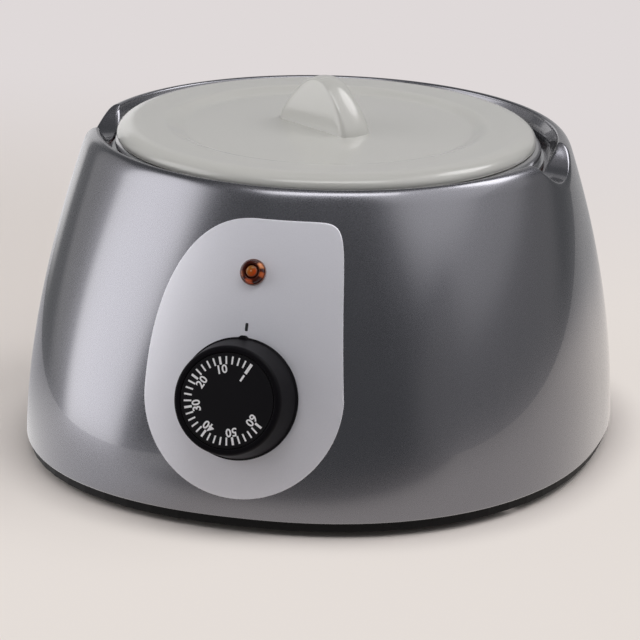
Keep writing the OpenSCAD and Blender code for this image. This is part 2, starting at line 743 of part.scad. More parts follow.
// Capillary thermostat: bracket, stepped housing with its bush, shaft, tabs and screws
module thermostat_bracket() {
    color(zinc) on_panel() difference() {
        translate([0, 0, thermo_front]) linear_extrude(bracket_t) difference() {
            square([bracket_w, bracket_h], center = true);
            circle(r = bush_r + screw_fit);
        }
        at_thermo_screws() translate([0, 0, thermo_front - overrun])
            cylinder(r = thermo_screw_r + run_fit, h = bracket_t + 2 * overrun);
    }
}
module thermostat_body() {
    back_w = thermo_w * thermo_step_share;
    color(black) on_panel() difference() {
        union() {
            translate([-thermo_w / 2, -thermo_h / 2, thermo_back + thermo_step])
                cube([thermo_w, thermo_h, thermo_d - thermo_step]);
            translate([-back_w / 2, -thermo_h / 2, thermo_back]) cube([back_w, thermo_h, thermo_step]);
            translate([0, 0, thermo_front]) cylinder(r = bush_r, h = bush_l);
        }
        translate([0, 0, thermo_front - shaft_root])
            cylinder(r = shaft_r + run_fit, h = shaft_root + bush_l + overrun);
        at_thermo_screws() translate([0, 0, thermo_front - thermo_screw_l])
            cylinder(r = thermo_screw_r + fit, h = thermo_screw_l + overrun);
    }
}
module thermostat_screws() {
    color(zinc) on_panel() at_thermo_screws() translate([0, 0, -seat_sink])
        pan_screw(thermo_screw_r, thermo_screw_l, thermo_head_r, thermo_head_h);
}
module thermostat_shaft() {
    length = shaft_end - thermo_front + shaft_root - fit;
    color(zinc) on_panel() translate([0, 0, thermo_front - shaft_root + fit]) difference() {
        cylinder(r = shaft_r, h = length);
        translate([-shaft_r, shaft_r - shaft_flat, length - knob_h + knob_hollow_t])
            cube([2 * shaft_r, 2 * shaft_flat, knob_h]);
    }
}
module thermostat_terminals() {
    color(brass) on_panel() for (x = [-1, 1])
        translate([x * thermo_tab_pitch / 2, -thermo_h / 2, thermo_back + thermo_step + tab_w])
        translate([-tab_w / 2, -tab_l, 0]) cube([tab_w, tab_l, tab_t]);
}

// Knob: a hollow skirted cap with a hub on the shaft
module control_knob() {
    inner_r = knob_shoulder_r - knob_hollow_t;
    color(black) on_panel() difference() {
        rotate_extrude() polygon(concat(
            [[0, knob_gap], [knob_r - knob_lip_w / 2, knob_gap], [knob_r, knob_gap + knob_lip_w / 2],
                [knob_r, knob_gap + knob_lip_h], [knob_r - knob_lip_w, knob_gap + knob_lip_h + knob_lip_w]],
            [for (t = [0 : crest_step : 90])
                [knob_shoulder_r - knob_round * (1 - cos(t)), knob_top - knob_round * (1 - sin(t))]],
            [[knob_face_r, knob_top], [knob_face_r - dial_sink, knob_floor], [0, knob_floor]]));
        translate([0, 0, knob_gap - overrun])
            tube(inner_r, knob_hub_r, knob_floor - knob_hollow_t - knob_gap + overrun);
        difference() {
            translate([0, 0, knob_gap - overrun])
                cylinder(r = shaft_r + run_fit, h = shaft_end - knob_gap + overrun + run_fit);
            translate([-shaft_r, shaft_r - shaft_flat + run_fit, shaft_end - knob_h + knob_hollow_t])
                cube([2 * shaft_r, 2 * shaft_flat, knob_h]);
        }
        translate([0, 0, knob_gap - overrun]) cylinder(r = inner_r, h = thermo_head_h + overrun);
    }
}
module dial_face() {
    color(black) on_panel() translate([0, 0, knob_floor])
        cylinder(r = knob_face_r - dial_sink - screw_fit, h = dial_t);
}

// Sensing bulb under the well, with its tube, clip and screws
module sensing_bulb() {
    color(copper) translate([bulb_x, bulb_y, bulb_z]) rotate([0, 90, 0]) rotate_extrude()
        polygon(concat([[0, -bulb_l / 2]],
            [for (t = [0 : crest_step : 90]) [bulb_r * sin(t), -bulb_l / 2 + bulb_r * (1 - cos(t))]],
            [[bulb_r, bulb_l / 2], [0, bulb_l / 2]]));
}
module capillary_tube() {
    color(copper) swept_tube(tube_route, tube_r);
}
module bulb_clip() {
    over_r = bulb_r + run_fit;
    color(steel) translate([bulb_x - clip_w / 2, bulb_y, bulb_z]) rotate([90, 0, 90]) difference() {
        linear_extrude(clip_w) difference() {
            union() {
                circle(r = over_r + clip_t);
                translate([-over_r - clip_t, 0]) square([2 * (over_r + clip_t), over_r - run_fit]);
                translate([-over_r - clip_foot, over_r - clip_t - run_fit])
                    square([2 * (over_r + clip_foot), clip_t]);
            }
            circle(r = over_r);
            translate([-over_r, 0]) square([2 * over_r, 2 * over_r]);
        }
        at_clip_screws() cylinder(r = clip_screw_r + run_fit, h = 2 * over_r);
    }
}
module at_clip_screws() {
    for (s = [-1, 1]) translate([s * (bulb_r + clip_foot / 2 + clip_t), 0, clip_w / 2])
        rotate([-90, 0, 0]) children();
}
module bulb_clip_screws() {
    color(zinc) translate([bulb_x - clip_w / 2, bulb_y, bulb_z]) rotate([90, 0, 90]) at_clip_screws()
        translate([0, 0, bulb_r - clip_t]) mirror([0, 0, 1])
        pan_screw(clip_screw_r, clip_screw_l - well_sheet, clip_head_r, clip_head_h);
}

// Pilot lamp: an amber lens with a flange, its body, a push-on clip and two tabs
module lamp_lens() {
    color(amber) at_lamp() translate([0, 0, label_glue + label_t]) rotate_extrude() polygon(concat(
        [[0, 0], [lamp_flange_r, 0], [lamp_flange_r, lamp_flange_h], [lamp_r, lamp_flange_h]],
        [for (t = [0 : crest_step : 90]) [lamp_r * cos(t), lamp_flange_h + lamp_lens_h * sin(t)]]));
}
module lamp_body() {
    color(black) at_lamp() translate([0, 0, -lamp_body_l])
        cylinder(r = lamp_body_r, h = lamp_body_l + label_glue + label_t);
}
module lamp_clip() {
    color(steel) at_lamp() translate([0, 0, -lamp_pad_t - lamp_clip_t])
        tube(lamp_clip_r, lamp_body_r, lamp_clip_t);
}
module lamp_terminals() {
    color(brass) at_lamp() for (x = [-1, 1])
        translate([x * lamp_tab_gap / 2 - lamp_tab_w / 2, -lamp_tab_t / 2, -lamp_body_l - lamp_tab_l])
        cube([lamp_tab_w, lamp_tab_t, lamp_tab_l]);
}

// Well: a deep-drawn pot that hangs by its flange and is pulled down by the tie stud
module heating_well() {
    flange_z = ledge_z + gasket_t;
    color(aluminium) difference() {
        rotate_extrude() difference() {
            polygon(concat([[0, well_bottom_z]],
                bend_points(well_out_r, well_bottom_z, well_bend + well_sheet),
                [[well_out_r, flange_z], [well_flange_r, flange_z], [well_flange_r, flange_z + well_sheet],
                    [0, flange_z + well_sheet]]));
            polygon(concat([[0, well_floor_z]], bend_points(well_r, well_floor_z, well_bend),
                [[well_r, rim_z], [0, rim_z]]));
        }
        translate([bulb_x - clip_w / 2, bulb_y, bulb_z]) rotate([90, 0, 90]) at_clip_screws()
            translate([0, 0, bulb_r])
            cylinder(r = clip_screw_r + run_fit, h = clip_screw_l - well_sheet - clip_t);
        at_cutout_screws() translate([0, 0, well_bottom_z - overrun])
            cylinder(r = clip_screw_r + run_fit, h = overrun + clip_screw_l - well_sheet - cutout_flange_t);
    }
}
// Quarter bend from a floor up into a wall
function bend_points(r, z, bend) =
    [for (t = [0 : crest_step / 2 : 90]) [r - bend + bend * sin(t), z + bend * (1 - cos(t))]];

module well_gasket() {
    color(silicone) translate([0, 0, ledge_z]) tube(well_flange_r, well_out_r + fit, gasket_t);
}

// Band heater: a split band with two lugs that a bolt draws together
module band_heater() {
    color(steel) translate([0, 0, heater_z]) difference() {
        union() {
            tube(heater_out_r, heater_r, heater_h);
            rotate([0, 0, heater_turn]) for (s = [-1, 1])
                translate([heater_r + heater_t / 2, s * (heater_split + lug_t) / 2, heater_h / 2])
                translate([0, -lug_t / 2, -lug_h / 2]) cube([heater_t / 2 + lug_w, lug_t, lug_h]);
        }
        rotate([0, 0, heater_turn]) translate([heater_r - overrun, -heater_split / 2, -overrun])
            cube([heater_t + lug_w + 2 * overrun, heater_split, heater_h + 2 * overrun]);
        clamp_axis() cylinder(r = bolt_r + screw_fit, h = heater_split + 4 * lug_t, center = true);
    }
}
module clamp_axis() {
    rotate([0, 0, heater_turn]) translate([heater_out_r + lug_w / 2, 0, heater_h / 2])
        rotate([90, 0, 0]) children();
}
module heater_clamp_bolt() {
    reach = heater_split / 2 + lug_t;
    color(zinc) translate([0, 0, heater_z]) clamp_axis() {
        translate([0, 0, reach])
            pan_screw(bolt_r, 2 * reach + bolt_nut_h + bolt_past, bolt_head_r, bolt_head_h);
        translate([0, 0, -reach - bolt_nut_h]) hex_ring(bolt_head_r, bolt_r + run_fit, bolt_nut_h);
    }
}
module heater_terminals() {
    color(brass) for (t = heater_tab_turns) translate([0, 0, heater_z + heater_h / 2]) rotate([0, 0, t]) {
        translate([heater_out_r, 0, 0]) rotate([0, 90, 0]) cylinder(r = heater_bead_r, h = heater_bead_h);
        translate([heater_out_r + heater_bead_h / 2, -heater_tab_t / 2, -heater_tab_w / 2])
            cube([heater_bead_h / 2 + heater_tab_l, heater_tab_t, heater_tab_w]);
    }
}

// Insulation: a blanket round the heater, open at the clamp and round each terminal
module insulation_jacket() {
    jacket_h = jacket_high_z - jacket_low_z;
    color(wool) difference() {
        translate([0, 0, jacket_low_z]) tube(jacket_out_r, jacket_r, jacket_h);
        rotate([0, 0, heater_turn])
            translate([jacket_r - jacket_t, -jacket_split / 2, jacket_low_z - overrun])
            cube([3 * jacket_t, jacket_split, jacket_h + 2 * overrun]);
        for (t = heater_tab_turns) translate([0, 0, heater_z + heater_h / 2]) rotate([0, 0, t])
            translate([jacket_r - overrun, 0, 0]) rotate([0, 90, 0])
            cylinder(r = heater_bead_r + overrun, h = jacket_t + 2 * overrun);
    }
}
module jacket_straps() {
    color(zinc) for (s = strap_shares)
        translate([0, 0, jacket_low_z + (jacket_high_z - jacket_low_z) * s - strap_h / 2]) difference() {
            tube(jacket_out_r + run_fit + strap_t, jacket_out_r + run_fit, strap_h);
            rotate([0, 0, heater_turn]) translate([jacket_r, -jacket_split / 2, -overrun])
                cube([2 * jacket_t, jacket_split, strap_h + 2 * overrun]);
        }
}

// Thermal cut-out screwed to the underside of the well
module thermal_cutout() {
    color(black) difference() {
        translate([cutout_x, cutout_y, well_bottom_z - cutout_flange_t]) {
            translate([0, 0, cutout_flange_t / 2])
                cube([cutout_flange_l, cutout_flange_w, cutout_flange_t], center = true);
            translate([0, 0, -cutout_h]) cylinder(r = cutout_r, h = cutout_h);
        }
        at_cutout_screws() translate([0, 0, well_bottom_z - cutout_flange_t - overrun])
            cylinder(r = clip_screw_r + run_fit, h = cutout_flange_t + 2 * overrun);
    }
}
module at_cutout_screws() {
    for (s = [-1, 1]) translate([cutout_x + s * cutout_pitch / 2, cutout_y, 0]) children();
}
module cutout_screws() {
    color(zinc) at_cutout_screws() translate([0, 0, well_bottom_z - cutout_flange_t]) mirror([0, 0, 1])
        pan_screw(clip_screw_r, clip_screw_l - well_sheet, clip_head_r, clip_head_h);
}

// Tie stud, washer and nut under the base plate's cup
module tie_stud() {
    low = foot_h + cup_h - washer_t - nut_h - stud_past;
    color(zinc) {
        translate([0, 0, low]) cylinder(r = stud_r, h = well_bottom_z - low);
        translate([0, 0, well_bottom_z - stud_weld_h]) cylinder(r = stud_weld_r, h = stud_weld_h);
    }
}
module tie_washer() {
    color(zinc) translate([0, 0, foot_h + cup_h - washer_t]) tube(washer_r, stud_r + screw_fit, washer_t);
}
module tie_nut() {
    color(zinc) translate([0, 0, foot_h + cup_h - washer_t - nut_h])
        hex_ring(nut_r, stud_r + run_fit, nut_h);
}
module hex_ring(r, hole, h) {
    difference() {
        cylinder(r = r, h = h, $fn = 6);
        translate([0, 0, -overrun]) cylinder(r = hole, h = h + 2 * overrun);
    }
}

// Lift-out tank: a spun bowl with a flat rim and a rolled edge
module tank() {
    curl_r = tank_rim_r - tank_curl;
    color(steel) rotate_extrude() difference() {
        union() {
            polygon(concat([[0, tank_floor_z - tank_sheet]],
                bend_points(tank_floor_r, tank_floor_z - tank_sheet, tank_bend + tank_sheet),
                [[tank_r, tank_top_z - tank_curl], [tank_r, tank_top_z - tank_sheet],
                    [curl_r, tank_top_z - tank_sheet], [curl_r, tank_top_z], [0, tank_top_z]]));
            translate([curl_r, tank_top_z - tank_curl]) circle(r = tank_curl);
        }
        polygon(concat([[0, tank_floor_z]], bend_points(tank_floor_r - tank_sheet, tank_floor_z, tank_bend),
            [[tank_r - tank_sheet, tank_top_z - tank_curl], [tank_r - tank_sheet, rim_z], [0, rim_z]]));
    }
}

// Lid: a disc with a raised border, a sunken, slightly domed middle, a pinch grip and a centring ring
function ease(s) = s * s * (3 - 2 * s);
function lid_top_points() = concat(
    [for (s = [0 : lid_step_share : 1 - lid_step_share])
        [(lid_dish_r - lid_step / 2) * s, lid_top_z - lid_dish + lid_dome * (1 - s * s)]],
    [for (s = [0 : lid_step_share : 1])
        [lid_dish_r - lid_step / 2 + lid_step * s, lid_top_z - lid_dish * (1 - ease(s))]],
    [for (t = [90 : -crest_step : 0])
        [lid_r - lid_round_w * (1 - cos(t)), lid_top_z - lid_round_h * (1 - sin(t))]]);
module lid() {
    hollow_z = lid_top_z - lid_dish - lid_t;
    ring_r = tank_r - tank_sheet - lid_ring_fit;
    color(pale_grey) {
        rotate_extrude() {
            polygon(concat([[0, hollow_z]], lid_top_points(),
                [[lid_r, lid_z], [ring_r, lid_z], [ring_r, hollow_z]]));
            translate([ring_r - lid_ring_t, lid_z - lid_ring_h])
                square([lid_ring_t, lid_ring_h + hollow_z - lid_z + lid_t / 2]);
        }
        lid_grip();
    }
}

// Pinch grip: a bell of revolution cut by two planes that lean in towards its top
function grip_bell(s) = grip_l / 2 * (1 - (1 - grip_flare_share) * ease(s))
    * sqrt(max(0, 1 - pow(s, grip_dome_power)));
module lid_grip() {
    low = lid_top_z - lid_dish - lid_t / 2;
    height = grip_h + lid_t / 2;
    lean = atan(grip_root / height);
    translate([0, 0, low]) rotate([0, 0, grip_turn]) difference() {
        rotate_extrude() polygon(concat([[0, 0]],
            [for (s = [0 : grip_step_share : 1]) [grip_bell(s), height * s]]));
        for (s = [-1, 1]) translate([0, s * (grip_t / 2 + grip_root), 0]) rotate([s * lean, 0, 0])
            translate([-grip_l, s > 0 ? 0 : -grip_l, -overrun])
            cube([2 * grip_l, grip_l, 2 * height]);
    }
}

// Cable gland: body with its hexagon, a seal, a domed nut and a locknut inside
module cable_gland() {
    color(black) at_gland() difference() {
        union() {
            translate([0, 0, -gland_thread_l]) cylinder(r = gland_r, h = gland_thread_l + gland_pad_proud);
            translate([0, 0, gland_pad_proud]) cylinder(r = gland_hex_r, h = gland_hex_h, $fn = 6);
            translate([0, 0, gland_pad_proud + gland_hex_h]) cylinder(r = gland_neck_r, h = gland_neck_l);
        }
        translate([0, 0, -gland_thread_l - overrun])
            cylinder(r = gland_bore_r, h = gland_thread_l + gland_reach);
        translate([0, 0, gland_pad_proud + gland_hex_h + gland_neck_l - gland_seal_l])
            cylinder(r = gland_seal_r + screw_fit, h = gland_seal_l + overrun);
    }
}
module gland_seal() {
    color(black) at_gland() translate([0, 0, gland_pad_proud + gland_hex_h + gland_neck_l - gland_seal_l])
        tube(gland_seal_r, cord_hole_r, gland_seal_l);
}
module gland_nut() {
    low = gland_pad_proud + gland_hex_h + run_fit;
    color(black) at_gland() difference() {
        rotate_extrude() polygon([[0, low], [gland_nut_r, low], [gland_nut_r, gland_reach - gland_nut_cone],
            [gland_nut_end_r, gland_reach], [0, gland_reach]]);
        translate([0, 0, low - overrun]) {
            cylinder(r = gland_neck_r + run_fit, h = gland_neck_l + overrun);
            cylinder(r = cord_hole_r, h = gland_reach);
        }
    }
}
module gland_locknut() {
    color(black) at_gland() translate([0, 0, -gland_pad_t - locknut_h])
        hex_ring(locknut_r, gland_r + run_fit, locknut_h);
}

// Terminal block: joined barrels with wire holes, clamp screws and two fixing screws
module terminal_block() {
    color(ceramic) translate([block_x, block_y, base_gap]) difference() {
        union() {
            translate([-block_l / 2, -block_w / 2, 0]) cube([block_l, block_w, block_rise]);
            at_poles() translate([-block_pole_r, -block_w / 2, block_rise])
                cube([2 * block_pole_r, block_w, block_h - block_rise]);
        }
        at_poles() {
            translate([0, 0, block_h - block_pole_r]) rotate([90, 0, 0])
                cylinder(r = block_wire_r, h = block_w + 2 * overrun, center = true);
            translate([0, block_w / 4, block_h - block_screw_h])
                cylinder(r = block_screw_r + screw_fit, h = block_screw_h + overrun);
        }
        for (s = [-1, 1]) translate([s * block_pitch / 2, 0, -overrun])
            cylinder(r = block_fix_r + run_fit, h = block_h);
    }
}
module at_poles() {
    for (i = [0 : block_poles - 1])
        translate([(i - (block_poles - 1) / 2) * block_pitch, 0, 0]) children();
}
module block_fixings() {
    for (s = [-1, 1]) translate([block_x + s * block_pitch / 2, block_y, 0]) children();
}
module terminal_screws() {
    color(brass) translate([block_x, block_y, base_gap]) at_poles()
        translate([0, block_w / 4, block_h - block_screw_h])
        cylinder(r = block_screw_r, h = block_screw_h - block_screw_sink);
}
module terminal_block_screws() {
    color(zinc) block_fixings() translate([0, 0, base_gap + block_rise])
        pan_screw(block_fix_r, block_rise + plate_t / 2, block_fix_head_r, block_fix_head_h);
}

// Earth screw and the ring tag that it holds on a moulded post
module earth_screw() {
    color(brass) translate([earth_x, earth_y, base_gap + earth_post_h + earth_tag_t])
        pan_screw(earth_screw_r, earth_screw_l, earth_head_r, earth_head_h);
}

module earth_tag() {
    color(brass) translate([earth_x, earth_y, base_gap + earth_post_h]) difference() {
        union() {
            cylinder(r = earth_tag_r, h = earth_tag_t);
            rotate([0, 0, earth_tag_turn]) translate([0, -earth_tag_w / 2, 0])
                cube([earth_tag_l, earth_tag_w, earth_tag_t]);
        }
        translate([0, 0, -overrun]) cylinder(r = earth_screw_r + screw_fit, h = earth_tag_t + 2 * overrun);
    }
}

module live_wire() { color("brown") swept_tube(live_route, wire_r); }
module neutral_wire() { color("royalblue") swept_tube(neutral_route, wire_r); }
module heater_wires() { color("brown") for (route = heater_routes) swept_tube(route, wire_r); }
module lamp_wires() { color("royalblue") for (route = lamp_routes) swept_tube(route, wire_r); }
module earth_wire() { color("yellowgreen") swept_tube(earth_route, wire_r); }

casing();
base_plate();
rubber_feet();
base_screws();
front_label();
thermostat_body();
thermostat_bracket();
thermostat_screws();
thermostat_shaft();
thermostat_terminals();
control_knob();
dial_face();
capillary_tube();
sensing_bulb();
bulb_clip();
bulb_clip_screws();
lamp_lens();
lamp_body();
lamp_clip();
lamp_terminals();
heating_well();
well_gasket();
band_heater();
heater_clamp_bolt();
heater_terminals();
insulation_jacket();
jacket_straps();
thermal_cutout();
cutout_screws();
tie_stud();
tie_washer();
tie_nut();
tank();
lid();
cable_gland();
gland_nut();
gland_seal();
gland_locknut();
terminal_block();
terminal_screws();
terminal_block_screws();
earth_screw();
earth_tag();
live_wire();
neutral_wire();
heater_wires();
lamp_wires();
earth_wire();
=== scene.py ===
"""Dresses the chocolate melting tank on its CAD frame: fine skins, finishes, light and camera."""
import json
import math

import bmesh
import bpy
import numpy as np
from mathutils import Matrix, Vector


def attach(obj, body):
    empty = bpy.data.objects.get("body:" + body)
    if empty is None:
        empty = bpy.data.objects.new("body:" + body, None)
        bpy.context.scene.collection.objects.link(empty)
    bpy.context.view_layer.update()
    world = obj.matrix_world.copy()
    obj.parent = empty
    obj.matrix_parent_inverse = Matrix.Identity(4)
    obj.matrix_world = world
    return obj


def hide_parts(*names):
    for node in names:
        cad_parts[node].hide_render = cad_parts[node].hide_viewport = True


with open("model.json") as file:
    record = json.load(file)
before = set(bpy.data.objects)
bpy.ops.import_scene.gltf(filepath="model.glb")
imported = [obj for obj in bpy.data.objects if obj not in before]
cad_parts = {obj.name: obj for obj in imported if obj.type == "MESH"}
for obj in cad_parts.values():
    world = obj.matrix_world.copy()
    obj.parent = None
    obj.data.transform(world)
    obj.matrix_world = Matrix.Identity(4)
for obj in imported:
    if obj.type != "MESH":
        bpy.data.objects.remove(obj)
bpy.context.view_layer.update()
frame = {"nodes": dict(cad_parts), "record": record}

bl_info = {
    "name": "Chocolate melting tank",
    "version": (1, 0, 0),
    "blender": (4, 5, 0),
    "location": "View3D > Sidebar > Melting tank",
    "description": "Builds the fine skins and finishes of a table-top chocolate melting tank",
    "category": "Object",
}


PROBE = 0.001          # Height step with which the wall's slope is measured
KNOB_HOLE = 0.0207     # Radius of the hole in the label and the recess in the wall round the knob
LABEL_GLUE = 0.00008   # Distance of the label's back from the wall
GLAND_HEIGHT = 0.030   # Height of the cable gland above the table
IMAGE_SIZE = 640.0     # Width of the picture in pixels


def length(name, default, description):
    """A size that a user may change, in metres."""
    return bpy.props.FloatProperty(
        name=name, description=description, default=default, min=0.0, precision=5, unit="LENGTH")


def angle(name, default, description):
    """An angle that a user may change, given in degrees."""
    return bpy.props.FloatProperty(
        name=name, description=description, default=math.radians(default), subtype="ANGLE")


def share(name, default, description):
    """A plain number that a user may change."""
    return bpy.props.FloatProperty(name=name, description=description, default=default, precision=4)


def tint(name, default, description):
    """A colour that a user may change, in linear values."""
    return bpy.props.FloatVectorProperty(
        name=name, description=description, default=default, size=3, min=0.0, max=1.0,
        subtype="COLOR")


class CasingSettings(bpy.types.PropertyGroup):
    """Sizes and colour of the moulded casing."""
    base_half_width: length("Half width", 0.120, "Half the width of the casing at its foot")
    base_half_depth: length("Half depth", 0.1374, "Half the depth of the casing at its foot")
    rim_radius: length("Rim radius", 0.1014, "Radius of the casing under its rounded rim")
    foot_height: length("Foot height", 0.006, "Height of the casing's lower edge above the table")
    shoulder_height: length("Shoulder height", 0.124322, "Height at which the rim starts to roll in")
    rim_height: length("Rim height", 0.1304, "Height of the rim's crest above the table")
    rim_roll: length("Rim roll", 0.0053, "How far the rim rolls in from the wall")
    crest_edge: length("Crest edge", 0.0012, "Radius of the rim's inner edge")
    funnel_inset: length("Funnel inset", 0.0114, "Inset of the funnel's foot from the outside")
    ledge_inset: length("Ledge inset", 0.0176, "Inset of the ledge's inner edge from the outside")
    ledge_height: length("Ledge height", 0.1195, "Height of the ledge that carries the well")
    wall: length("Wall", 0.003, "Thickness of the casing's wall")
    flare_power: share("Flare power", 1.83, "How late the wall flares out towards the foot")
    foot_power: share("Foot squareness", 2.25, "Superellipse power of the outline at the foot")
    scoop_radius: length("Scoop radius", 0.023, "Radius of a finger scoop")
    scoop_depth: length("Scoop depth", 0.0108, "Depth of a finger scoop below the rim")
    scoop_forward: length("Scoop forward", 0.0085, "Distance of the scoops before the tank's axis")
    scoop_slope: angle("Scoop slope", 7.0, "Fall of a scoop's floor towards the outside")
    colour: tint("Lacquer", (0.205, 0.205, 0.228), "Colour of the silver-grey lacquer")


class PanelSettings(bpy.types.PropertyGroup):
    """Sizes and colours of the label, the knob and the lamp."""
    knob_height: length("Knob height", 0.0535, "Height of the knob's axis above the table, at the wall")
    knob_radius: length("Knob radius", 0.0242, "Radius of the knob's lip")
    knob_face: length("Knob face", 0.019, "Radius of the knob's flat face")
    knob_top: length("Knob top", 0.0199, "Distance of the knob's face from the wall")
    label_radius: length("Label radius", 0.0405, "Radius of the label's round lower half")
    label_rise: length("Label rise", 0.066025, "Height of the label above the knob's axis")
    label_thickness: length("Label thickness", 0.0006, "Thickness of the label")
    label_lean: share("Label lean", 0.186, "Share by which the square shoulder leans in")
    lamp_height: length("Lamp height", 0.100125, "Height of the lamp above the table, at the wall")
    lamp_radius: length("Lamp radius", 0.0047, "Radius of the lamp's lens")
    label_colour: tint("Label", (0.80, 0.80, 0.86), "Colour of the label film")
    knob_colour: tint("Knob", (0.0060, 0.0055, 0.0070), "Colour of the knob")
    mark_colour: tint("Marks", (0.80, 0.80, 0.82), "Colour of the scale on the dial")
    lens_colour: tint("Lens", (0.62, 0.13, 0.018), "Colour of the lamp's lens")


class VesselSettings(bpy.types.PropertyGroup):
    """Sizes and colours of the tank and the lid."""
    tank_radius: length("Tank radius", 0.078, "Outer radius of the tank's wall")
    tank_floor: length("Tank floor", 0.037, "Height of the tank's floor above the table")
    tank_top: length("Tank top", 0.127, "Height of the tank's rim above the table")
    tank_rim: length("Tank rim", 0.0885, "Outer radius of the tank's rolled rim")
    lid_radius: length("Lid radius", 0.0871, "Outer radius of the lid")
    lid_top: length("Lid top", 0.1332, "Height of the lid's raised ring above the table")
    lid_dish: length("Lid dish", 0.0022, "Depth of the lid's sunken middle")
    lid_dome: length("Lid dome", 0.0012, "Rise of the sunken middle towards its centre")
    dish_radius: length("Dish radius", 0.0636, "Radius of the lid's sunken middle")
    grip_length: length("Grip length", 0.0452, "Length of the pinch grip at its foot")
    grip_height: length("Grip height", 0.0221, "Height of the pinch grip")
    grip_thickness: length("Grip thickness", 0.010, "Thickness of the pinch grip at its top")
    grip_turn: angle("Grip turn", -36.0, "Turn of the grip about the lid's axis")
    lid_colour: tint("Lid", (0.590, 0.588, 0.556), "Colour of the lid")
    steel_colour: tint("Steel", (0.60, 0.60, 0.61), "Colour of the tank's steel")


class StageSettings(bpy.types.PropertyGroup):
    """Light, floor and viewing angle."""
    azimuth: angle("Azimuth", 14.223, "Turn of the camera from the front towards the right")
    elevation: angle("Elevation", 16.407, "Height of the camera above the horizon")
    roll: angle("Roll", 1.400, "Roll of the camera")
    distance: length("Distance", 1.7, "Distance of the camera from the object")
    floor_colour: tint("Floor", (0.80, 0.745, 0.705), "Colour of the floor")
    backdrop_colour: tint("Backdrop", (0.738, 0.694, 0.694), "Colour of the backdrop")


GROUPS = {"tank_casing": CasingSettings, "tank_panel": PanelSettings,
          "tank_vessel": VesselSettings, "tank_stage": StageSettings}


def sums(operation):
    """A Python operator and its reflected form, each as one Math node."""
    def plain(self, other):
        return self.paint.math(operation, self, other)

    def reflected(self, other):
        return self.paint.math(operation, other, self)
    return plain, reflected


class Link:
    """An output socket that takes part in Python sums."""
    __add__, __radd__ = sums("ADD")
    __sub__, __rsub__ = sums("SUBTRACT")
    __mul__, __rmul__ = sums("MULTIPLY")
    __truediv__, __rtruediv__ = sums("DIVIDE")
    __pow__, __rpow__ = sums("POWER")

    def __init__(self, paint, socket):
        self.paint, self.socket = paint, socket


class Paint:
    """One material or world under construction; makes all of its nodes."""

    def __init__(self, name, world=None):
        self.material = world or bpy.data.materials.new(name)
        self.material.use_nodes = True
        self.tree = self.material.node_tree
        self.tree.nodes.clear()

    def node(self, kind, settings=None, sockets=None, out=0):
        """Adds a node: its settings first, then the values or links of its sockets."""
        made = self.tree.nodes.new(kind)
        for key, value in (settings or {}).items():
            setattr(made, key, value)
        for key, value in (sockets or {}).items():
            if isinstance(value, Link):
                self.tree.links.new(value.socket, made.inputs[key])
            else:
                made.inputs[key].default_value = value
        return Link(self, made.outputs[out]) if made.outputs else None

    def math(self, operation, first, second=0.0):
        """A Math node."""
        return self.node("ShaderNodeMath", {"operation": operation}, {0: first, 1: second})

    def coords(self):
        """Places on the piece, in metres."""
        return self.node("ShaderNodeTexCoord", out="Object")

    def along(self, axis):
        """Distances along one of the piece's axes, in metres."""
        return self.node("ShaderNodeSeparateXYZ", None, {"Vector": self.coords()}, axis)

    def stretched(self, scale):
        """Places on the piece, stretched along its axes."""
        return self.node("ShaderNodeVectorMath", {"operation": "MULTIPLY"},
                         {0: self.coords(), 1: scale})

    def noise(self, scale, detail, where=None):
        """Soft noise between 0 and 1."""
        return self.node("ShaderNodeTexNoise", None, {
            "Vector": where or self.coords(), "Scale": scale, "Detail": detail, "Roughness": 0.55})

    def clamped(self, value):
        """A value kept between 0 and 1."""
        return self.node("ShaderNodeClamp", None, {"Value": value, "Min": 0.0, "Max": 1.0})

    def step(self, value, start, end):
        """A smooth rise from 0 at start to 1 at end."""
        return self.node("ShaderNodeMapRange", {"interpolation_type": "SMOOTHSTEP"}, {
            "Value": value, "From Min": start, "From Max": end})

    def mix(self, first, second, factor):
        """A blend of two colours."""
        first, second = ((*c, 1.0) if isinstance(c, tuple) else c for c in (first, second))
        return self.node("ShaderNodeMix", {"data_type": "RGBA"}, {0: factor, 6: first, 7: second}, 2)

    def varied(self, colour, amount, factor):
        """A colour that goes from a share darker to a share lighter."""
        return self.mix(shaded(colour, -amount), shaded(colour, amount), factor)

    def layered(self, factor, first, second):
        """A blend of two shaders."""
        return self.node("ShaderNodeMixShader", None, {0: factor, 1: first, 2: second})

    def bump(self, height, distance):
        """A normal from a height map."""
        return self.node("ShaderNodeBump", None, {
            "Height": height, "Distance": distance, "Strength": 1.0})

    def finish(self, **sockets):
        """Ends the material in a Principled shader."""
        self.node_output(self.node("ShaderNodeBsdfPrincipled", None, {
            key.replace("_", " "): value for key, value in sockets.items()}))
        return self.material

    def node_output(self, shader, kind="ShaderNodeOutputMaterial"):
        """Links a shader to the output of the material or world."""
        self.node(kind, None, {"Surface": shader})


def shaded(colour, amount):
    """A colour made lighter or darker by a share."""
    return tuple(min(1.0, c * (1.0 + amount)) for c in colour)


